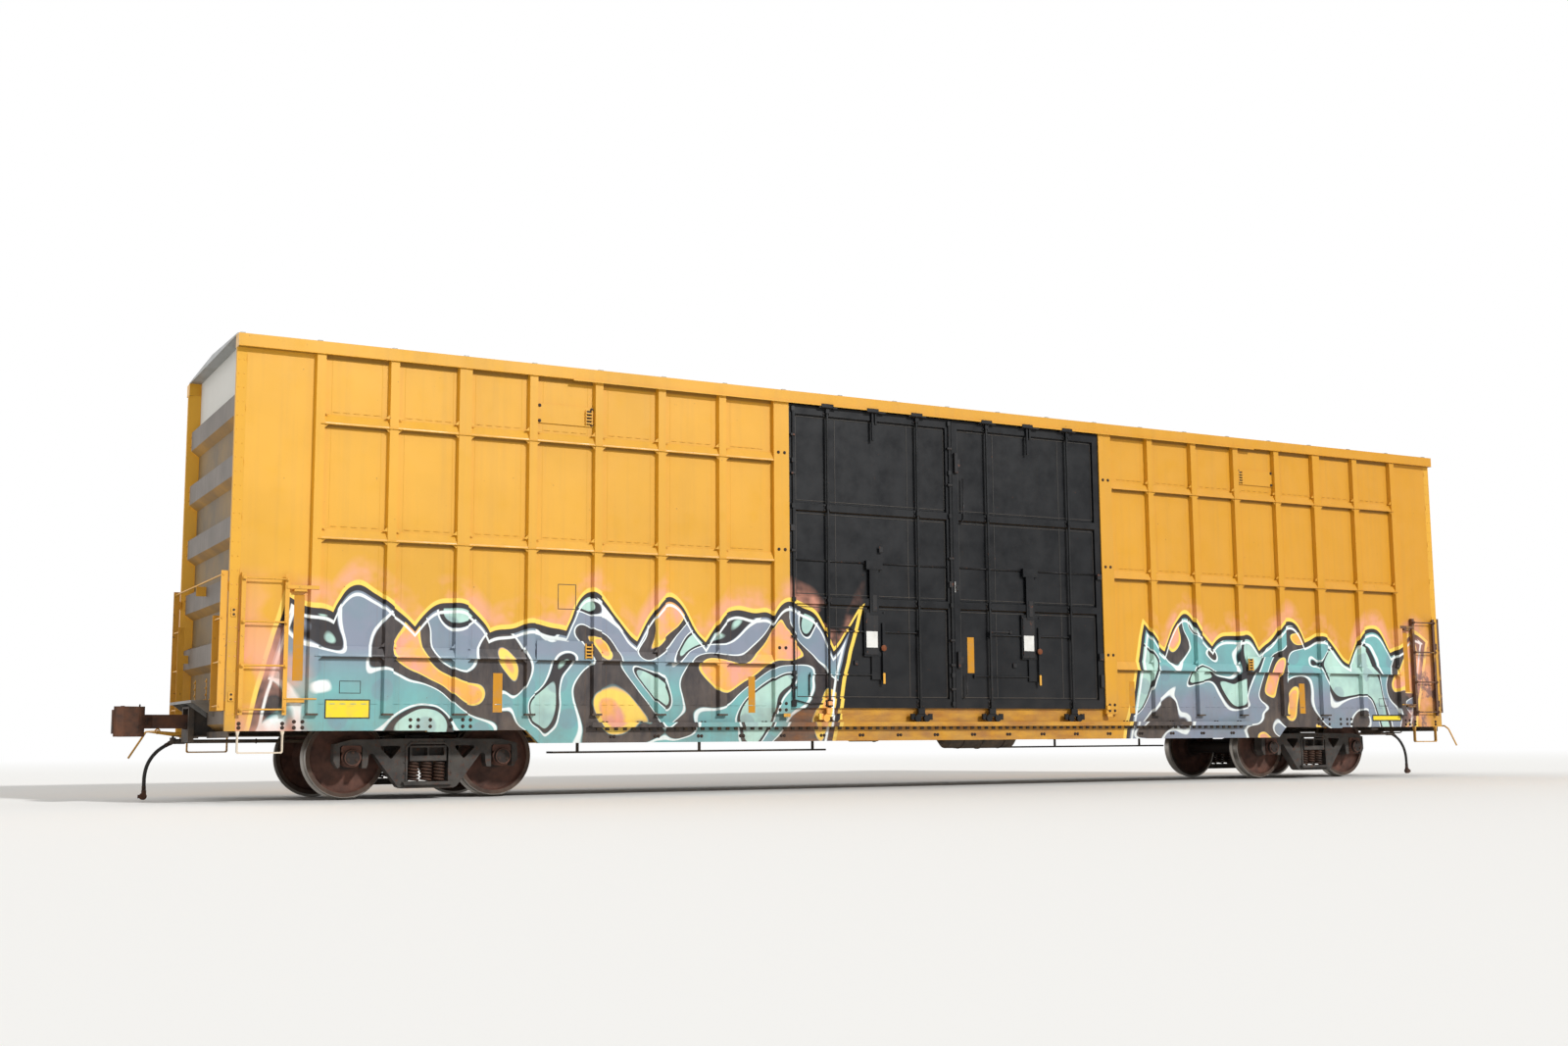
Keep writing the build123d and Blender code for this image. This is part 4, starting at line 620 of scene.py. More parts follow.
def grown(name, spots, tree, values, material, slot, signs=AS_IS, body="carbody", replaces=()):
    """Runs a tree on spots, each a place and the way that it points, and keeps what it makes as one piece."""
    spots = signed(spots, signs)
    points = bpy.data.meshes.new(name + "_points")
    points.from_pydata([place for place, _ in spots], [], [])
    facing = points.attributes.new("facing", "FLOAT_VECTOR", "POINT")
    for number, (_, direction) in enumerate(spots):
        facing.data[number].vector = direction
    holder = bpy.data.objects.new(name + "_points", points)
    bpy.context.scene.collection.objects.link(holder)
    live = holder.modifiers.new("field", "NODES")
    live.node_group = bpy.data.node_groups[tree]
    sockets = {item.name: item.identifier for item in live.node_group.interface.items_tree
               if item.in_out == "INPUT"}
    for label, value in values.items():
        live[sockets[label]] = value
    live[sockets["Material"]] = bpy.data.materials[material]
    mesh = plain_mesh(holder)
    mesh.name = name
    piece(name, mesh, material, body, replaces)


def tree_with(name, labels):
    """A geometry tree with a geometry input, named sizes, a material and one geometry output."""
    tree = bpy.data.node_groups.new(name, "GeometryNodeTree")
    tree.interface.new_socket("Points", in_out="INPUT", socket_type="NodeSocketGeometry")
    for label, value in labels.items():
        socket = tree.interface.new_socket(label, in_out="INPUT", socket_type="NodeSocketFloat")
        socket.default_value = value
    tree.interface.new_socket("Material", in_out="INPUT", socket_type="NodeSocketMaterial")
    tree.interface.new_socket("Geometry", in_out="OUTPUT", socket_type="NodeSocketGeometry")
    return tree, add(tree, "NodeGroupInput", out=None)


def finish_tree(tree, given, shape):
    """Copies the shape to every point, turned to face its way, and ends the tree."""
    facing = add(tree, "GeometryNodeInputNamedAttribute", {"Name": "facing"}, data_type="FLOAT_VECTOR")
    turn = add(tree, "FunctionNodeAlignRotationToVector", {"Vector": facing}, axis="Z")
    copies = {"Points": given["Points"], "Instance": shape, "Rotation": turn}
    copies = add(tree, "GeometryNodeInstanceOnPoints", copies)
    real = add(tree, "GeometryNodeRealizeInstances", copies)
    coated = add(tree, "GeometryNodeSetMaterial", {"Geometry": real, "Material": given["Material"]})
    add(tree, "NodeGroupOutput", {"Geometry": coated}, out=None)


def bolt_tree():
    """Hexagon bolt heads on round washers."""
    tree, given = tree_with("hexagon_bolts", {"Radius": 0.012, "Height": 0.010})
    head = {"Vertices": 6, "Radius": given["Radius"], "Depth": given["Height"]}
    head = add(tree, "GeometryNodeMeshCylinder", head)
    half = add(tree, "Math", given["Height"], 0.62, operation="MULTIPLY")
    lift = add(tree, "CombineXYZ", 0.0, 0.0, half)
    head = add(tree, "GeometryNodeTransform", {"Geometry": head, "Translation": lift})
    wide = add(tree, "Math", given["Radius"], 1.55, operation="MULTIPLY")
    thin = add(tree, "Math", given["Height"], 0.35, operation="MULTIPLY")
    washer = add(tree, "GeometryNodeMeshCylinder", {"Vertices": 10, "Radius": wide, "Depth": thin})
    finish_tree(tree, given, add(tree, "GeometryNodeJoinGeometry", {0: [head, washer]}))


def ball_tree(name, segments, rings, radius, height):
    """Balls drawn out along the way that they point: flat for rivet heads, long for runs of weld."""
    tree, given = tree_with(name, {"Radius": radius, "Height": height})
    ball = {"Segments": segments, "Rings": rings, "Radius": given["Radius"]}
    ball = add(tree, "GeometryNodeMeshUVSphere", ball)
    share = add(tree, "Math", given["Height"], given["Radius"], operation="DIVIDE")
    scale = add(tree, "CombineXYZ", 1.0, 1.0, share)
    finish_tree(tree, given, add(tree, "GeometryNodeTransform", {"Geometry": ball, "Scale": scale}))


def spring_tree():
    """Coil springs of round wire, with a smaller coil inside each."""
    labels = {"Radius": 0.058, "Wire": 0.0125, "Height": 0.234, "Turns": 5.5}
    tree, given = tree_with("nested_coil_springs", labels)
    coils = []
    for share, wire, turns in ((1.0, 1.0, 1.0), (0.52, 0.62, 1.7)):
        radius = add(tree, "Math", given["Radius"], share, operation="MULTIPLY")
        thick = add(tree, "Math", given["Wire"], wire, operation="MULTIPLY")
        count = add(tree, "Math", given["Turns"], turns, operation="MULTIPLY")
        coil = {"Resolution": 22, "Rotations": count, "Start Radius": radius, "End Radius": radius,
                "Height": given["Height"]}
        coil = add(tree, "GeometryNodeCurveSpiral", coil)
        section = add(tree, "GeometryNodeCurvePrimitiveCircle", {"Resolution": 8, "Radius": thick})
        coils.append(add(tree, "GeometryNodeCurveToMesh", coil, section))
    finish_tree(tree, given, add(tree, "GeometryNodeJoinGeometry", {0: coils}))


# Sizes and colours that a user would change

class BoxcarColours(bpy.types.PropertyGroup):
    body_yellow: FloatVectorProperty(
        name="Body yellow", description="Sun-faded enamel of the sides",
        size=4, subtype="COLOR", min=0, max=1, default=linear("#E2A726"))
    door_black: FloatVectorProperty(
        name="Door black", description="Enamel of the plug doors",
        size=4, subtype="COLOR", min=0, max=1, default=linear("#0D0F13"))
    # grime on the ends, its grey darkened further with painted shade
    end_grey: FloatVectorProperty(
        name="End grey", description="Grime on the pressed ends",
        size=4, subtype="COLOR", min=0, max=1, default=linear("#7E746B"))
    fitting_yellow: FloatVectorProperty(
        name="Fitting yellow", description="Ladders, steps and levers",
        size=4, subtype="COLOR", min=0, max=1, default=linear("#E2A52F"))
    underframe: FloatVectorProperty(
        name="Underframe black", description="Paint under the floor",
        size=4, subtype="COLOR", min=0, max=1, default=linear("#2B2724"))
    dust: FloatVectorProperty(
        name="Dust", description="Brown brake dust and dried mud",
        size=4, subtype="COLOR", min=0, max=1, default=linear("#7B6650"))
    rust: FloatVectorProperty(
        name="Rust", description="Chips through the paint",
        size=4, subtype="COLOR", min=0, max=1, default=linear("#6A3A20"))
    mural_line: FloatVectorProperty(
        name="Mural line", description="Dark outline of the painted band",
        size=4, subtype="COLOR", min=0, max=1, default=linear("#262429"))
    mural_low: FloatVectorProperty(
        name="Mural teal", description="Foot of the left band, top of the right",
        size=4, subtype="COLOR", min=0, max=1, default=linear("#74B4B4"))
    mural_high: FloatVectorProperty(
        name="Mural grey", description="Top of the left band, foot of the right",
        size=4, subtype="COLOR", min=0, max=1, default=linear("#8790A2"))
    mural_halo: FloatVectorProperty(
        name="Mural halo", description="Warm spray round the painted band",
        size=4, subtype="COLOR", min=0, max=1, default=linear("#EFA68C"))


class BoxcarSizes(bpy.types.PropertyGroup):
    bolt_radius: FloatProperty(
        name="Bolt head", description="Half the width of a bolt head",
        unit="LENGTH", default=0.014, min=0.004, max=0.05)
    spring_wire: FloatProperty(
        name="Spring wire", description="Radius of the outer springs' wire",
        unit="LENGTH", default=0.0145, min=0.004, max=0.03)
    spring_turns: FloatProperty(
        name="Spring turns", description="Turns of each outer spring",
        default=5.5, min=2, max=12)
    floor_half: FloatProperty(
        name="Floor", description="Half the width of the floor",
        unit="LENGTH", default=300.0, min=20, max=1000)


# Steps

class BOXCAR_OT_stage(bpy.types.Operator):
    """Makes the floor, the plain light and the camera at the photograph's angle"""
    bl_idname = "boxcar.stage"
    bl_label = "Stage"

    def execute(self, context):
        scene = context.scene
        half = scene.boxcar_sizes.floor_half
        mesh = bpy.data.meshes.new("floor")
        corners = [(-half, -half, 0), (half, -half, 0), (half, half, 0), (-half, half, 0)]
        mesh.from_pydata(corners, [], [(0, 1, 2, 3)])
        mesh.materials.append(studio_floor())
        floor = bpy.data.objects.new("floor", mesh)
        scene.collection.objects.link(floor)

        world = bpy.data.worlds.new("studio")
        scene.world = world
        world.use_nodes = True
        tree = world.node_tree
        seen = add(tree, "LightPath", out="Is Camera Ray")
        level = add(tree, "MapRange", seen, 0.0, 1.0, 0.50, 1.0)
        feed(tree, tree.nodes["Background"], {"Strength": level, "Color": (1.0, 1.0, 1.0, 1.0)})
        suns = (("key", 2.25, 4, (-0.33, 0.80, -0.50)), ("fill", 0.9, 70, (0.45, -0.80, -0.55)))
        for name, energy, width, aim in suns:
            lamp = bpy.data.lights.new(name, "SUN")
            lamp.energy = energy
            lamp.angle = math.radians(width)
            light = bpy.data.objects.new(name, lamp)
            light.rotation_euler = Vector(aim).to_track_quat("-Z", "Y").to_euler()
            scene.collection.objects.link(light)

        lens = bpy.data.cameras.new("camera")
        lens.sensor_width = 36.0
        lens.lens = CAMERA_LENS
        lens.clip_end = 500.0
        camera = bpy.data.objects.new("camera", lens)
        camera.location = CAMERA_PLACE
        yaw, pitch, roll = (math.radians(angle) for angle in CAMERA_TURNS)
        turn = Euler((0, 0, -yaw)).to_matrix() @ Euler((math.radians(90) + pitch, 0, 0)).to_matrix()
        turn = turn @ Euler((0, 0, roll)).to_matrix()
        camera.rotation_euler = turn.to_euler()
        scene.collection.objects.link(camera)
        scene.camera = camera
        scene.view_settings.view_transform = "Standard"
        return {"FINISHED"}


class BOXCAR_OT_hoses(bpy.types.Operator):
    """Hangs the air hose at each end from its angle cock to its open coupling"""
    bl_idname = "boxcar.hoses"
    bl_label = "Air hoses"

    def execute(self, context):
        rubber = hose_rubber()
        for end, sign in (("b", 1), ("a", -1)):
            curve = bpy.data.curves.new(f"hose_{end}", "CURVE")
            curve.dimensions = "3D"
            spline = curve.splines.new("NURBS")
            spline.points.add(len(HOSE_ROUTE) - 1)
            for point, (x, y, z) in zip(spline.points, HOSE_ROUTE):
                point.co = (sign * x, sign * y, z, 1.0)
            spline.order_u = 3
            spline.use_endpoint_u = True
            spline.resolution_u = 12
            curve.bevel_depth = HOSE_DIAMETER / 2
            curve.bevel_resolution = 6
            curve.materials.append(rubber)
            hose = bpy.data.objects.new(f"hose_{end}", curve)
            context.scene.collection.objects.link(hose)
            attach(hose, "carbody")
            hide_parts(f"air_hose_{end}")
            x, y, z = HOSE_ROUTE[0]
        return {"FINISHED"}


class BOXCAR_OT_paint(bpy.types.Operator):
    """Makes the finishes and gives every frame piece its own"""
    bl_idname = "boxcar.paint"
    bl_label = "Paint the frame"

    def execute(self, context):
        colours = context.scene.boxcar_colours
        # Sides: sun-faded yellow that deepens along the car, with the painted band and soft waves
        side = enamel("yellow_alkyd_enamel", colours.body_yellow, colours, rough=0.40, dust=0.40, wave=0.014,
                      chips=0.10, art=True, side=True, fade=True)
        # Doors: near-black with a soft shine, hardly dusty, with the band carried across
        door = enamel("black_alkyd_enamel", colours.door_black, colours, rough=0.34, dust=0.05, chips=0.06,
                      wave=0.006, art=True, gloss=0.32)
        # Ladders, steps and levers: yellow worn to rust in many spots, with brown and pale corners
        fitting = enamel("worn_yellow_enamel", colours.fitting_yellow, colours, rough=0.5, chips=0.45,
                         dust=0.4, corners=True)
        # Underframe: black that looks brown under thick dust
        under = enamel("dusty_black_underframe_paint", colours.underframe, colours, rough=0.66, dust=0.75,
                       chips=0.3)
        # Sign boards: the sides' yellow on a flat plate
        board = enamel("yellow_board_enamel", colours.body_yellow, colours, dust=0.3, art=True, fade=True)
        # Locking rods: black rubbed smooth and shiny
        rod = enamel("rubbed_black_enamel", linear("#0E1013"), colours, rough=0.30, dust=0.05, chips=0.3)
        # Locks and bars: black chipped to rust all over
        enamel("chipped_black_enamel", linear("#141417"), colours, dust=0.18, chips=0.6, gloss=0.4)
        # Beads of the doors: black gone grey, partly under dust and partly as a painted highlight
        enamel("dusty_black_enamel_and_highlight", linear("#34302C"), colours, rough=0.55, dust=0.5, chips=0.2)
        # Strips and plates: deep amber, black borders, clean yellow faces and off-white tags
        plain_film("amber_reflective_film", linear("#C98A10"), 0.30)
        plain_film("black_plate_film", linear("#1C1B1B"), 0.45)
        plain_film("yellow_plate_film", linear("#F4D61E"), 0.40)
        plain_film("white_plate_film", linear("#E4E3DE"), 0.45)
        # Bolts and pins in dark brown rust, and the doors' gear pivots in orange rust
        cast_steel("rusty_fastener_steel", "#4B3A2F", "#251D19", scale=60.0, depth=0.0005)
        cast_steel("orange_rusted_boss", "#96522A", "#5B3018", scale=60.0, depth=0.0005)
        # Side frames and bolsters: grey with soot more than brown
        sooty = cast_steel("sooty_cast_steel", "#59544F", "#2F2C2A")
        # The rest: pale roof, darker grating, dark brown trucks, redder springs and warm brown couplers
        finishes = {
            "body_yellow": side,
            "door_black": door,
            "end_grey": end_paint(colours),
            "roof_steel": galvanised("galvanised_roof_sheet", linear("#A9ABAB")),
            "underframe_black": under,
            "deck_wood": oak_deck(),
            "truck_iron": cast_steel("rusty_cast_steel", "#4C372C", "#231B18"),
            "wheel_iron": wheel_steel(),
            "spring_steel": cast_steel("rusty_spring_steel", "#5A3C2D", "#2A1E19", depth=0.0006),
            "yellow_fittings": fitting,
            "grating_steel": galvanised("galvanised_grating", linear("#8F9090"), 40.0),
            "coupler_iron": cast_steel("bare_coupler_casting", "#6A4531", "#2E201A", scale=30.0),
            "sign_board": board,
        }
        # Bearings: the lightest of the rusts
        special = {"side_frames": sooty, "truck_bolster": sooty, "door_rods": rod,
                   "bearings": cast_steel("rusty_bearing_steel", "#7A5547", "#4A3129")}
        for part in frame["record"]["subparts"]:
            family = part["node"].removesuffix("_a").removesuffix("_b")
            material = special.get(family) or finishes.get(part["material_slot"])
            if material:
                mesh = NODES[part["node"]].data
                mesh.materials.clear()
                mesh.materials.append(material)
        return {"FINISHED"}


class BOXCAR_OT_springs(bpy.types.Operator):
    """Replaces the plain spring solids with nests of coils"""
    bl_idname = "boxcar.springs"
    bl_label = "Coil springs"

    def execute(self, context):
        sizes = context.scene.boxcar_sizes
        spring_tree()
        inset = 0.070
        for end in "ab":
            low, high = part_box(f"coil_springs_{end}")
            middle = (low.x + high.x) / 2
            reach = (high.x - low.x) / 2 - inset
            spots = [((middle + x, y, low.z + sizes.spring_wire), UP)
                     for y in (low.y + inset, high.y - inset) for x in (-reach, 0.0, reach)]
            values = {"Radius": 0.0555, "Wire": sizes.spring_wire, "Turns": sizes.spring_turns,
                      "Height": high.z - low.z - 2 * sizes.spring_wire}
            grown(f"springs_{end}", spots, "nested_coil_springs", values, "rusty_spring_steel",
                  "spring_steel", body=f"truck_{end}", replaces=(f"coil_springs_{end}",))
        return {"FINISHED"}


class BOXCAR_OT_fasteners(bpy.types.Operator):
    """Builds the trees of bolts, rivets and weld beads that the fittings use"""
    bl_idname = "boxcar.fasteners"
    bl_label = "Fastener trees"

    def execute(self, context):
        bolt_tree()
        ball_tree("round_rivets", 8, 5, 0.010, 0.006)
        ball_tree("weld_beads", 6, 6, 0.005, 0.07)
        return {"FINISHED"}


class BOXCAR_OT_rails(bpy.types.Operator):
    """Adds the side rails' welds, flanges and gussets, black blocks of painted shade at the posts' open
    lower ends, and the ledge's brackets, black as a painted shadow under the ledge
    """
    bl_idname = "boxcar.rails"
    bl_label = "Rails and posts"

    def execute(self, context):
        webs = []
        feet = []
        for x in POSTS:
            half = 0.075 if x == WIDE_POST else 0.050
            # painted shade: a black block under each post stands for the dark hollow of its open end
            feet.append(((x - half - 0.012, SHEET_BOLT, 0.9480), (x + half + 0.012, -1.5995, 0.9706)))
            for lip, side in product(LIPS, (-1,) if x == POSTS[-1] else (-1, 1)):
                edge = x + side * (half - 0.002)
                for z, rise in ((lip + 0.116, 0.055), (lip + 0.002, -0.045)):
                    webs.append(((edge, -1.592, z), (edge + side * 0.055, -1.592, z),
                                 (edge, -1.592, z + rise)))
        flanges = [((2.765, -1.5940, lip - 0.002), (8.500, -1.6140, lip + 0.007)) for lip in LIPS]
        # brackets under the ledge, coloured black as a painted shadow of the ledge
        brackets = [((0.115 * number - 5.15, -1.5405, 0.772), (0.115 * number - 5.105, -1.560, 0.8074))
                    for number in range(90)]
        welds = [((9.312, SHEET_BOLT, z), UP) for z in (1.3, 1.9, 2.5, 3.1, 3.7, 4.3, 4.85)]
        edges = [2.755] + POSTS
        for start, end in zip(edges, edges[1:]):
            step = (end - start - 0.26) / 5
            for lip, number in product(LIPS[1:], range(5)):
                welds.append(((start + 0.13 + step * (number + 0.5), -1.5425, lip + 0.150), ALONG))
            welds += [((start + 0.09 + step * (number + 0.5), -1.5415, 1.075), ALONG) for number in range(6)]
        yellow = ("yellow_alkyd_enamel", "body_yellow", CORNERS)
        grown("stitch_welds", welds, "weld_beads", {"Radius": 0.005, "Height": 0.042}, *yellow)
        boxes("rail_flanges", flanges, *yellow, bevel=0.002)
        gussets("rail_gussets", webs, 0.012, *yellow)
        boxes("post_foot_shades", feet, "dusty_black_underframe_paint", "underframe_black", CORNERS)
        boxes("shaded_ledge_brackets", brackets, "dusty_black_underframe_paint", "underframe_black", BOTH_SIDES)
        return {"FINISHED"}


class BOXCAR_OT_side_bolts(bpy.types.Operator):
    """Adds the bolts and corner rivets of both sides, and the clips and bolts of the side ladders"""
    bl_idname = "boxcar.side_bolts"
    bl_label = "Side bolts"

    def execute(self, context):
        sill = [0.30 + 0.58 * number + dx for number in range(9) for dx in (-0.022, 0.022)]
        groups = (((8.815, 9.275), SHEET_BOLT, (0.815, 0.860)),
                  ((8.60, 8.69), SHEET_BOLT, (0.815, 0.880)),
                  ((6.70, 6.79, 6.93, 7.17, 7.31, 7.40), SHEET_BOLT, (0.825, 0.900)),
                  (sill, SHEET_BOLT, (0.700,)),
                  ((9.365,), SHEET_BOLT, (1.12, 1.17, 2.03, 2.08)),
                  ((2.60, 2.69), -1.601, (1.02, 1.10, 1.80, 3.05, 4.30)),
                  ((5.245, 5.912), -1.557, (4.445, 4.630)))
        bolts = [((x, y, z), OUT) for across, y, heights in groups for x in across for z in heights]
        bolts += [((x + dx, -1.575, 0.868), UP) for x in (2.90, 3.75, 4.60, 5.05) for dx in (-0.025, 0.025)]
        rivets = [((x, -1.5405, 0.96 + 0.155 * number), OUT) for x in (9.338, 9.398) for number in range(26)]
        rungs = [((x, LADDER_RUNG, z), OUT) for x in LADDER_RAILS for z in RUNGS]
        head = {"Radius": context.scene.boxcar_sizes.bolt_radius, "Height": 0.012}
        grown("corner_rivets", rivets, "round_rivets", {"Radius": 0.008, "Height": 0.005},
              "yellow_alkyd_enamel", "body_yellow", CORNERS)
        grown("side_bolts", bolts, "hexagon_bolts", head, "rusty_fastener_steel", "body_yellow", CORNERS)
        grown("rung_bolts", rungs, "hexagon_bolts", head, "worn_yellow_enamel", "yellow_fittings", CORNERS)

        clips = raised(-1.6062, *((x - 0.020, x + 0.020, z - 0.015, z + 0.015, LADDER_RUNG)
                                  for x in LADDER_RAILS for z in RUNGS))
        clips += raised(-1.6003, (8.47, 8.82, 1.118, 1.134, -1.6100))
        clips += raised(-1.5404, (8.60, 8.79, 1.085, 1.118, -1.6000), (8.60, 8.74, 2.296, 2.326, -1.6000),
                        (9.335, 9.395, 1.095, 1.195, -1.5500), (9.335, 9.395, 2.005, 2.105, -1.5500))
        boxes("ladder_clips", clips, "worn_yellow_enamel", "yellow_fittings", CORNERS, bevel=0.003)
        return {"FINISHED"}


class BOXCAR_OT_plates(bpy.types.Operator):
    """Adds the boards' cleats with black painted shade in their slots, the amber strips, blank plates, blank
    tags and stencil frames
    """
    bl_idname = "boxcar.plates"
    bl_label = "Plates and strips"

    def execute(self, context):
        cleats = raised(-1.5565, *((5.236, 5.330, z, z + 0.016, -1.5800)
                                   for z in (4.452 + 0.040 * number for number in range(4))),
                        (5.238, 5.250, 4.440, 4.620, -1.5740), (5.316, 5.328, 4.440, 4.620, -1.5740))
        cleats += [tuple((x, y - 0.0563, z - 2.826) for x, y, z in row) for row in cleats]
        boxes("board_cleats", cleats, "worn_yellow_enamel", "body_yellow", CORNERS)
        # painted shade: a black sheet in each board holder's slot stands for its dark hollow
        slots = [((5.252, -1.5565, 4.444), (5.314, -1.5580, 4.616)),
                 ((5.252, -1.6128, 1.618), (5.314, -1.6143, 1.790))]
        boxes("board_slot_shades", slots, "dusty_black_underframe_paint", "body_yellow", CORNERS)

        strips = raised(SHEET, (8.613, 8.725, 1.325, 2.265, -1.5420), (6.324, 6.437, 0.985, 1.435, -1.5420),
                        (3.013, 3.108, 0.985, 1.435, -1.5420))
        boxes("amber_strips", strips, "amber_reflective_film", "body_yellow", CORNERS)
        strips = raised(DOOR_SKIN, (0.222, 0.330, 1.520, 2.000, -1.5500))
        boxes("door_strips", strips, "amber_reflective_film", "door_black", TURNED)
        borders = raised(SHEET, (-8.364, -7.862, 0.913, 1.125, -1.5425), (7.86, 8.50, 0.868, 0.968, -1.5420))
        boxes("plate_borders", borders, "black_plate_film", "body_yellow", TURNED)
        faces = [((-8.350, -1.5420, 0.927), (-7.876, -1.5432, 1.111)),
                 ((7.88, -1.5415, 0.888), (8.48, -1.5426, 0.948))]
        boxes("plate_faces", faces, "yellow_plate_film", "body_yellow", TURNED)
        line = 0.008
        stencils = []
        for spans in ((-8.21, -7.97, 1.19, 1.33), (-5.65, -5.42, 2.20, 2.50), (8.02, 8.22, 1.10, 1.22)):
            stencils += outline(*spans, SHEET, -1.5412, line, line)
        boxes("stencil_frames", stencils, "black_plate_film", "body_yellow", TURNED)
        tags = raised(-1.5902, (-1.395, -1.225, 1.830, 2.040, -1.5912), (1.140, 1.310, 1.830, 2.040, -1.5912))
        tags += raised(DOOR_RIM, (0.020, 0.028, 2.60, 2.74, -1.5812))
        boxes("blank_tags", tags, "white_plate_film", "door_black", TURNED)
        return {"FINISHED"}


class BOXCAR_OT_door_panels(bpy.types.Operator):
    """Adds the pressed beads of the doors' panels, their rubber gaskets, hangers and stops"""
    bl_idname = "boxcar.door_panels"
    bl_label = "Door panels"

    def execute(self, context):
        beads = []
        for x0, x1 in ((-2.418, -0.113), (0.113, 2.418)):
            for z0, z1 in ((1.185, 2.340), (2.500, 3.545), (3.705, 4.812)):
                beads += outline(x0, x1, z0, z1, -1.548, -1.553, 0.010, 0.0)
            for x in ((x0 + x1) / 2 - 0.56, (x0 + x1) / 2 + 0.56):
                beads += raised(-1.548, (x - 0.005, x + 0.005, 1.185, 4.812, -1.5515))
        # the beads' grey is partly dust and partly a painted highlight
        boxes("door_beads", beads, "dusty_black_enamel_and_highlight", "door_black", TURNED, bevel=0.0015)
        gaskets = raised(-1.545, (-2.534, -2.528, 1.046, 4.951, -1.585),
                         (-0.0035, 0.0035, 1.046, 4.951, -1.572), (2.528, 2.534, 1.046, 4.951, -1.585))
        boxes("door_gaskets", gaskets, "wrapped_epdm_rubber", "door_black", TURNED)

        hangers = []
        for x in DOOR_MIDDLES:
            hangers += raised(-1.5860, (x - 0.016, x + 0.016, 4.560, 4.935, -1.6120))
        for x in (*ROD_X, *DOOR_MIDDLES):
            hangers += raised(-1.6402, (x - 0.105, x + 0.075, 4.935, 4.984, -1.6432),
                              (x - 0.105, x + 0.075, 4.935, 4.948, -1.5900))
        for x in ROD_X:
            hangers += raised(ROD_STRAP, (x - 0.168, x - 0.108, 0.893, 0.975, -1.6240),
                              (x + 0.108, x + 0.168, 0.893, 0.975, -1.6240))
            hangers += raised(-1.5815, (x - 0.052, x + 0.052, 0.968, 1.046, -1.6220))
        boxes("door_hangers", hangers, "black_alkyd_enamel", "door_black", TURNED, bevel=0.004)
        stops = raised(DOOR_POST, (2.545, 2.640, 0.93, 0.975, -1.6120), (2.545, 2.600, 1.03, 1.09, -1.6150),
                       (-2.640, -2.545, 0.93, 0.975, -1.6120))
        boxes("door_stops", stops, "worn_yellow_enamel", "body_yellow", TURNED, bevel=0.003)
        return {"FINISHED"}


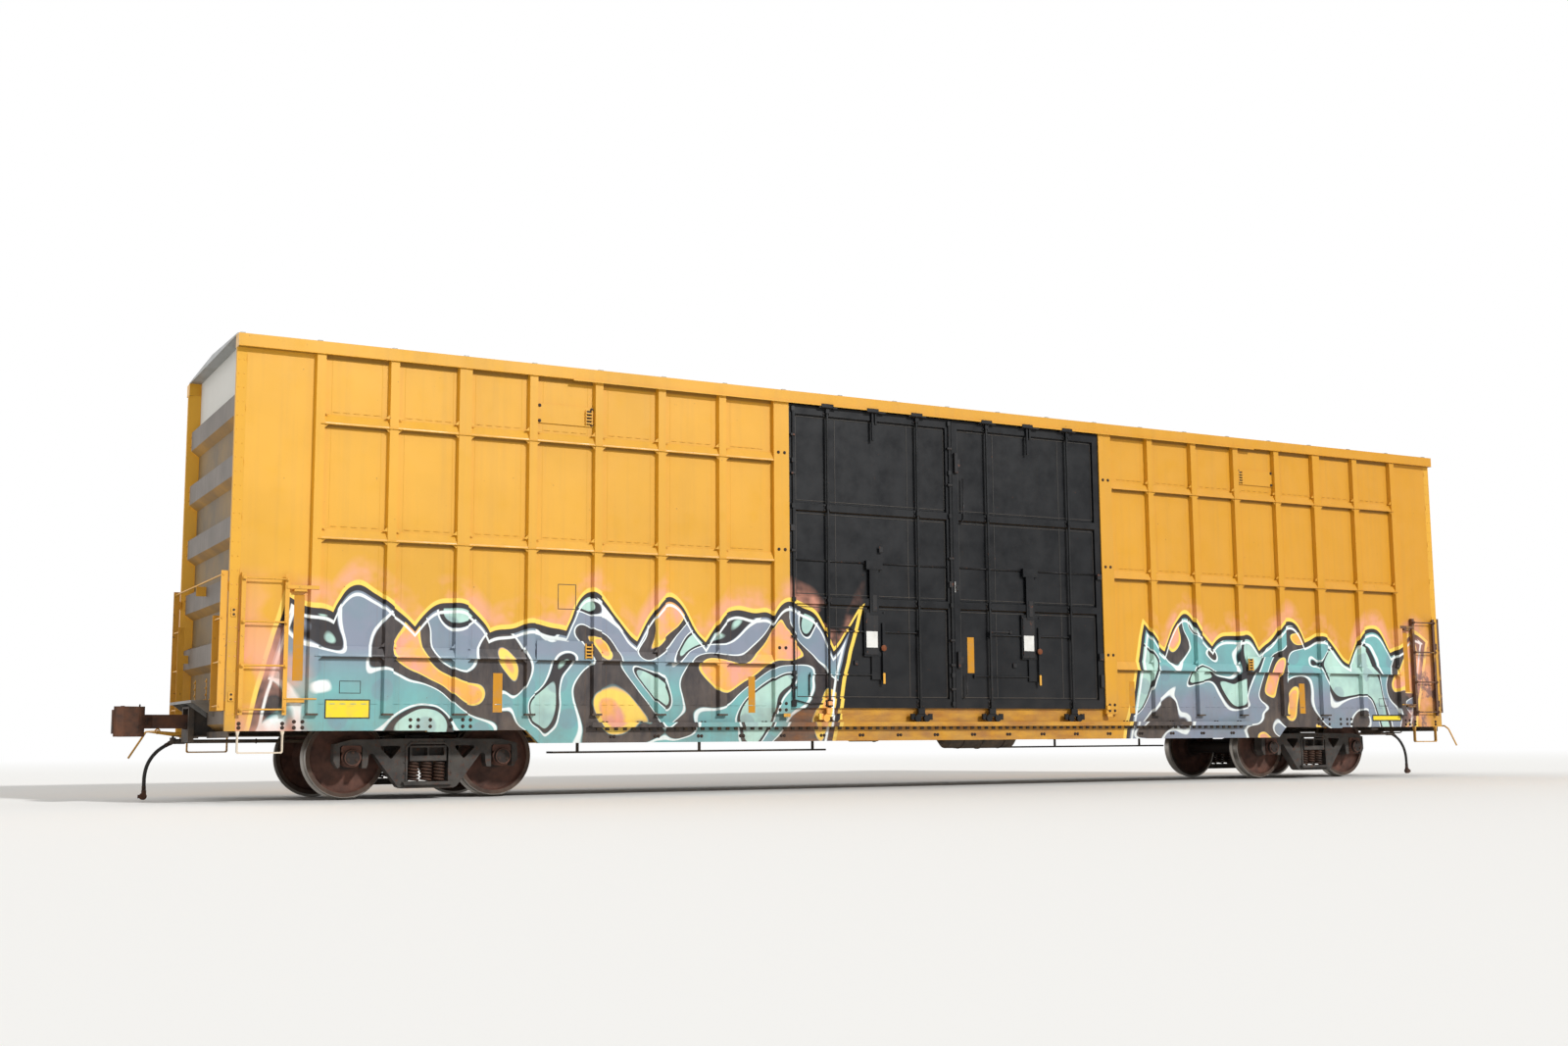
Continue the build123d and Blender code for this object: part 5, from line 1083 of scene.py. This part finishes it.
class BOXCAR_OT_door_locks(bpy.types.Operator):
    """Adds the doors' rod straps, hinge blocks, lock boxes, bars, bolts, gear pivots and handle grips"""
    bl_idname = "boxcar.door_locks"
    bl_label = "Door locks"

    def execute(self, context):
        blocks = raised(
            DOOR_RIM,
            *((x - 0.036, x + 0.036, z - 0.016, z + 0.016, -1.6120)
              for x in (-2.475, -0.0475) for z in (1.30, 1.62, 1.95, 3.05, 4.05, 4.55)),
            *((x - 0.048, x + 0.048, z - 0.042, z + 0.042, ROD_STRAP) for x in ROD_X for z in ROD_STRAPS),
            (0.030, 0.085, 4.22, 4.50, -1.6150), (0.085, 0.130, 4.30, 4.42, -1.6000),
            (0.030, 0.085, 1.58, 1.80, -1.6150), (0.085, 0.130, 1.64, 1.74, -1.6000),
            (-0.085, -0.020, 2.66, 2.74, -1.6050), (0.030, 0.070, 2.62, 2.70, -1.6000),
            (2.440, 2.520, 2.86, 2.94, -1.6100), (2.440, 2.520, 1.72, 1.82, -1.6100),
            (2.455, 2.515, 1.34, 1.52, -1.6080), (-2.520, -2.452, 3.30, 3.38, -1.6080),
            (-2.520, -2.450, 1.06, 1.14, -1.6060), (-1.180, -1.120, 3.08, 3.16, -1.5900))
        bars = [[(-2.500, -1.592, 1.420), (-2.500, -1.600, 1.150), (-2.280, -1.600, 1.100),
                 (-2.060, -1.592, 1.100)],
                [(-2.240, -1.560, 1.470), (-2.240, -1.562, 1.200)],
                [(0.170, -1.592, 4.150), (0.170, -1.600, 3.600), (0.110, -1.592, 3.520)],
                [(0.170, -1.592, 1.500), (0.170, -1.600, 1.220), (0.110, -1.592, 1.180)]]
        bolts = [((x + dx, ROD_STRAP, z + dz), OUT)
                 for x in ROD_X for z in ROD_STRAPS for dx in (-0.040, 0.040) for dz in (-0.028, 0.028)]
        pivots = []
        grips = []
        for x in DOOR_MIDDLES:
            blocks += raised(DOOR_RIM, (x - 0.135, x + 0.060, 1.735, 2.290, -1.5900),
                             (x - 0.035, x + 0.035, 2.300, 2.520, -1.6010))
            blocks += raised(DOOR_SKIN, (x + 0.150, x + 0.420, 2.020, 2.050, -1.5600),
                             (x - 0.680, x - 0.330, 2.070, 2.096, -1.5640),
                             (x - 0.350, x - 0.310, 2.060, 2.106, -1.5720),
                             (x - 0.300, x - 0.240, 1.60, 1.66, -1.5700))
            bars += [[(x - 1.165, -1.562, 2.935), (x - 0.05, -1.562, 2.935)],
                     [(x + 0.05, -1.562, 2.935), (x + 1.165, -1.562, 2.935)]]
            bolts += [((x + dx, ROD_STRAP, z), OUT) for dx in (-0.145, 0.145) for z in (1.75, 2.02, 2.29)]
            bolts += [((x + dx, -1.5950, 2.875), OUT) for dx in (-0.10, 0.10)]
            pivots.append(((x + 0.125, -1.6122, 1.8254), OUT))
            grips += raised(-1.6064, (x + 0.108, x + 0.142, 1.360, 1.500, -1.6120))
        black = ("chipped_black_enamel", "door_black", TURNED)
        boxes("door_hardware", blocks, *black, bevel=0.004)
        rods("door_bars", bars, 0.009, *black)
        grown("door_bolts", bolts, "hexagon_bolts", {"Radius": 0.010, "Height": 0.009}, *black)
        grown("gear_pivots", pivots, "round_rivets", {"Radius": 0.044, "Height": 0.014}, "orange_rusted_boss",
              "door_black", TURNED)
        boxes("handle_grips", grips, "worn_yellow_enamel", "yellow_fittings", TURNED, bevel=0.002)
        return {"FINISHED"}


class BOXCAR_OT_end_ladders(bpy.types.Operator):
    """Adds the clips and bolts of the end ladders and the bolts at the ribs' ends"""
    bl_idname = "boxcar.end_ladders"
    bl_label = "End ladders"

    def execute(self, context):
        bolts = [((9.478, 1.511, z + 0.040), (0.0, 1.0, 0.0)) for z in RUNGS]
        bolts += [((9.478, 1.089, z + 0.040), OUT) for z in RUNGS[:3]]
        bolts += [((9.3765, 1.43, top + dz), ALONG) for top in RIB_TOPS for dz in (-0.060, -0.175)]
        clips = []
        for z in (1.050, 2.338):
            clips.append(((END_POST, 1.455, z - 0.045), (9.4262, 1.4995, z + 0.045)))
            bolts += [((9.4262, 1.477, z + dz), ALONG) for dz in (-0.022, 0.022)]
        for z in (1.045, 1.658):
            clips.append(((END_RIB, 1.1002, z - 0.042), (9.3822, 1.150, z + 0.042)))
            bolts += [((9.3822, 1.128, z + dz), ALONG) for dz in (-0.020, 0.020)]
        head = {"Radius": context.scene.boxcar_sizes.bolt_radius * SMALL_HEAD, "Height": 0.010}
        yellow = ("worn_yellow_enamel", "yellow_fittings", CORNERS)
        grown("end_bolts", bolts, "hexagon_bolts", head, *yellow)
        boxes("end_ladder_clips", clips, *yellow, bevel=0.002)
        return {"FINISHED"}


class BOXCAR_OT_platforms(bpy.types.Operator):
    """Adds the bars of the end platforms' grating and the uprights that hold it"""
    bl_idname = "boxcar.platforms"
    bl_label = "End platforms"

    def execute(self, context):
        bars = [((9.4325 + 0.025 * k, -0.662, 1.106), (9.4370 + 0.025 * k, 0.662, 1.1285)) for k in range(7)]
        bars += [((9.408, -0.65 + 0.05 * k, 1.116), (9.612, -0.645 + 0.05 * k, 1.1275)) for k in range(27)]
        boxes("platform_grating", bars, "galvanised_grating", "grating_steel", TURNED)
        uprights = []
        bolts = []
        for y in (-0.43, 0.27, 0.62):
            uprights += [((9.391, y - 0.016, 1.1302), (9.399, y + 0.016, 1.385)),
                         ((9.391, y - 0.028, 1.1302), (9.430, y + 0.028, 1.1365))]
            bolts += [((9.399, y, z), ALONG) for z in (1.200, 1.275, 1.350)]
            bolts.append(((9.415, y, 1.1365), UP))
        head = {"Radius": context.scene.boxcar_sizes.bolt_radius * SMALL_HEAD, "Height": 0.010}
        yellow = ("worn_yellow_enamel", "yellow_fittings", TURNED)
        boxes("platform_uprights", uprights, *yellow, bevel=0.002)
        grown("upright_bolts", bolts, "hexagon_bolts", head, *yellow)
        return {"FINISHED"}


class BOXCAR_OT_couplings(bpy.types.Operator):
    """Adds the ferrules of the hoses, the eyes of the uncoupling levers and the couplers' lock lifters"""
    bl_idname = "boxcar.couplings"
    bl_label = "Coupling fittings"

    def execute(self, context):
        ferrules = []
        for here, beside in ((HOSE_ROUTE[0], HOSE_ROUTE[1]), (HOSE_ROUTE[-1], HOSE_ROUTE[-2])):
            step = (Vector(beside) - Vector(here)).normalized() * 0.048
            ferrules.append([here, Vector(here) + step])
        rods("hose_ferrules", ferrules, 0.0245, "rusty_fastener_steel", "hose_rubber", TURNED, sides=3)
        rods("lever_eyes", [ring((9.800, -0.405, 0.795), 0.026, "y", 16)], 0.008, "worn_yellow_enamel",
             "yellow_fittings", TURNED, closed=True)
        lift = [[(10.060, -0.020, 1.066), (10.060, -0.020, 1.092), (10.045, -0.090, 1.092),
                 (10.045, -0.120, 1.068)]]
        for end, sign in (("b", 1), ("a", -1)):
            rods(f"lock_lifter_{end}", lift, 0.007, "rusty_fastener_steel", "coupler_iron", ((sign, sign),),
                 f"coupler_{end}", ease=0.012)
        return {"FINISHED"}


class BOXCAR_OT_hand_brake(bpy.types.Operator):
    """Adds the hand brake's bolts, trip, chain, sheave and rods"""
    bl_idname = "boxcar.hand_brake"
    bl_label = "Hand brake"

    def execute(self, context):
        y = HAND_BRAKE_Y
        rusty = ("rusty_fastener_steel", "underframe_black")
        bolts = [((9.5065, -0.64 + dy, 1.9254 + dz), ALONG) for dy in (-0.10, 0.10) for dz in (-0.18, 0.18)]
        grown("hand_brake_bolts", bolts, "hexagon_bolts", {"Radius": 0.012, "Height": 0.010}, *rusty)
        links = chain((9.440, y, 1.726), (9.440, y, 1.290))
        rods("hand_brake_chain", links, 0.0055, *rusty, closed=True, sides=1)
        pull = [[(9.440, y, 1.300), (9.440, y, 0.930)],
                [(9.440, y, 0.840), (9.420, y, 0.690), (9.200, y, 0.690), (8.750, -0.380, 0.690),
                 (7.340, -0.380, 0.690), (7.275, -0.380, 0.790)]]
        rods("hand_brake_rods", pull, 0.010, *rusty, ease=0.06)
        rods("hand_brake_sheave", [ring((9.440, y, 0.885), 0.045, "y", 18)], 0.012, "rusty_cast_steel",
             "underframe_black", closed=True)
        cheeks = [((END_RIB, -0.762, 0.850), (9.470, -0.754, 0.930)),
                  ((END_RIB, -0.716, 0.850), (9.470, -0.708, 0.930)),
                  ((9.430, -0.7545, 0.875), (9.450, -0.7155, 0.895))]
        boxes("hand_brake_bracket", cheeks, "dusty_black_underframe_paint", "underframe_black", bevel=0.002)
        trip = [[(9.5065, -0.545, 1.800), (9.530, -0.545, 1.800), (9.545, -0.545, 1.690)]]
        rods("hand_brake_trip", trip, 0.007, "worn_yellow_enamel", "yellow_fittings")
        return {"FINISHED"}


class BOXCAR_OT_roof(bpy.types.Operator):
    """Adds the bolts along the roof's seam caps"""
    bl_idname = "boxcar.roof"
    bl_label = "Roof bolts"

    def execute(self, context):
        slope = 0.0369
        spots = [((0.851 * number, -y, 5.2108 - slope * y), (0.0, -slope, 1.0))
                 for number in range(-11, 12) for y in (0.12 + 0.24 * step for step in range(6))]
        grown("roof_bolts", spots, "hexagon_bolts", {"Radius": 0.010, "Height": 0.008},
              "galvanised_roof_sheet", "roof_steel", BOTH_SIDES)
        return {"FINISHED"}


class BOXCAR_OT_wheel_caps(bpy.types.Operator):
    """Adds the bolts and rims of the bearings' end caps, which turn with the wheels"""
    bl_idname = "boxcar.wheel_caps"
    bl_label = "Bearing caps"

    def execute(self, context):
        centres = [end * TRUCK_X + step * AXLE_OFFSET for end in (-1, 1) for step in (-1, 1)]
        for number, x in enumerate(centres, 1):
            angles = [math.radians(turn) for turn in (90, 210, 330)]
            bolts = [((x + 0.056 * math.cos(angle), -1.1418, AXLE_Z + 0.056 * math.sin(angle)), OUT)
                     for angle in angles]
            grown(f"cap_bolts_{number}", bolts, "hexagon_bolts", {"Radius": 0.015, "Height": 0.011},
                  "rusty_fastener_steel", "wheel_iron", BOTH_SIDES, f"wheelset_{number}")
            rods(f"cap_rims_{number}", [ring((x, -1.140, AXLE_Z), 0.086, "y", 24)], 0.005,
                 "rusty_bearing_steel", "wheel_iron", BOTH_SIDES, f"wheelset_{number}", closed=True, sides=1)
        return {"FINISHED"}


class BOXCAR_OT_trucks(bpy.types.Operator):
    """Adds the side frames' rivets and the brake levers, rods and pins of both trucks"""
    bl_idname = "boxcar.trucks"
    bl_label = "Truck fittings"

    def execute(self, context):
        lever_x = (-BRAKE_LEVER_X, BRAKE_LEVER_X)
        rivets = [((0.275, -1.0785, z), OUT) for z in (0.300, 0.420, 0.540)]
        rivets += [((x, -1.0785, 0.655), OUT) for x in (0.10, 0.20)]
        for end, sign in (("a", -1), ("b", 1)):
            shift = sign * TRUCK_X
            body = f"truck_{end}"
            spots = [((x + shift, y, z), facing) for (x, y, z), facing in signed(rivets, CORNERS)]
            grown(f"frame_rivets_{end}", spots, "round_rivets", {"Radius": 0.013, "Height": 0.009},
                  "sooty_cast_steel", "truck_iron", body=body)
            levers = [((x + shift - 0.010, 0.030, 0.325), (x + shift + 0.010, 0.055, 0.660)) for x in lever_x]
            levers.append(((shift - BRAKE_LEVER_X, 0.034, 0.625), (shift - 0.2315, 0.051, 0.650)))
            boxes(f"brake_levers_{end}", levers, "rusty_cast_steel", "truck_iron", body=body, bevel=0.003)
            rods(f"bottom_rod_{end}", [[(x + shift, 0.0425, 0.345) for x in lever_x]], 0.013,
                 "rusty_cast_steel", "truck_iron", body=body)
            pins = [((x + shift, y, z), (0.0, way, 0.0)) for x in lever_x for z in (0.345, 0.405, 0.640)
                    for y, way in ((0.0555, 1.0), (0.0295, -1.0))]
            grown(f"lever_pins_{end}", pins, "round_rivets", {"Radius": 0.013, "Height": 0.012},
                  "rusty_fastener_steel", "truck_iron", body=body)
        return {"FINISHED"}


class BOXCAR_OT_underframe(bpy.types.Operator):
    """Adds the air pipes, bands, clamps and release rod under the floor"""
    bl_idname = "boxcar.underframe"
    bl_label = "Underframe fittings"

    def execute(self, context):
        painted = ("dusty_black_underframe_paint", "underframe_black")
        rusty = ("rusty_fastener_steel", "underframe_black")
        pipes = [[(1.498, -0.700, 0.705), (1.700, -0.700, 0.705), (2.045, -0.740, 0.705)],
                 [(1.498, -0.820, 0.705), (1.700, -0.820, 0.705), (2.045, -0.800, 0.705)],
                 [(2.045, -0.690, 0.716), (1.850, -0.500, 0.712), (-0.450, -0.500, 0.712),
                  (-0.580, -0.600, 0.722), (-0.664, -0.620, 0.735)],
                 [(2.300, -0.652, 0.690), (2.300, -0.340, 0.680)]]
        rods("air_pipes", pipes, 0.013, *painted, ease=0.06)
        boxes("pipe_tee", [((2.262, -0.360, 0.646), (2.338, -0.300, 0.708))], "rusty_cast_steel",
              "underframe_black", bevel=0.010)
        rods("release_rod", [[(2.300, -0.868, 0.668), (2.300, -1.395, 0.668)]], 0.007, *rusty)
        rods("release_grip", [ring((2.300, -1.418, 0.668), 0.024, "z", 16)], 0.006, *rusty, closed=True)
        boxes("release_hanger", [((2.293, -1.330, 0.656), (2.307, -1.322, 1.075))], *painted)
        bands = [ring((x, -0.760, 0.7154), 0.202, "x", 28) for x in (0.575, 1.255)]
        bands.append(ring((-0.700, -0.620, 0.7654), 0.152, "x", 24))
        rods("tank_bands", bands, 0.008, *rusty, closed=True)
        clamps = [ring((x, -0.330, 0.6774), 0.026, "x", 14) for x in (1.675, 3.35, 5.025, 8.70)]
        rods("pipe_clamps", clamps, 0.006, *rusty, TURNED, closed=True, sides=1)
        bolts = [(place, ALONG) for place in ring((-0.6598, -0.620, 0.7654), 0.120, "x", 6)]
        grown("cylinder_bolts", bolts, "hexagon_bolts", {"Radius": 0.011, "Height": 0.010}, *rusty)
        return {"FINISHED"}


class BOXCAR_PT_panel(bpy.types.Panel):
    """Lists the steps and the sizes and colours"""
    bl_idname = "BOXCAR_PT_panel"
    bl_label = "Boxcar"
    bl_space_type = "VIEW_3D"
    bl_region_type = "UI"
    bl_category = "Boxcar"

    def draw(self, context):
        for step in STEPS:
            self.layout.operator(step.bl_idname)
        for group in (context.scene.boxcar_sizes, context.scene.boxcar_colours):
            for name in group.bl_rna.properties.keys():
                if name not in ("rna_type", "name"):
                    self.layout.prop(group, name)


STEPS = (BOXCAR_OT_stage, BOXCAR_OT_hoses, BOXCAR_OT_paint, BOXCAR_OT_springs, BOXCAR_OT_fasteners,
         BOXCAR_OT_rails, BOXCAR_OT_side_bolts, BOXCAR_OT_plates, BOXCAR_OT_door_panels, BOXCAR_OT_door_locks,
         BOXCAR_OT_end_ladders, BOXCAR_OT_platforms, BOXCAR_OT_couplings, BOXCAR_OT_hand_brake,
         BOXCAR_OT_roof, BOXCAR_OT_wheel_caps, BOXCAR_OT_trucks, BOXCAR_OT_underframe)
CLASSES = (BoxcarColours, BoxcarSizes) + STEPS + (BOXCAR_PT_panel,)


def register():
    for item in CLASSES:
        bpy.utils.register_class(item)
    bpy.types.Scene.boxcar_colours = PointerProperty(type=BoxcarColours)
    bpy.types.Scene.boxcar_sizes = PointerProperty(type=BoxcarSizes)


def unregister():
    del bpy.types.Scene.boxcar_sizes
    del bpy.types.Scene.boxcar_colours
    for item in reversed(CLASSES):
        bpy.utils.unregister_class(item)


def main():
    """Runs every step in order."""
    register()
    for step in STEPS:
        group, name = step.bl_idname.split(".")
        getattr(getattr(bpy.ops, group), name)()


if __name__ == "__main__":
    main()
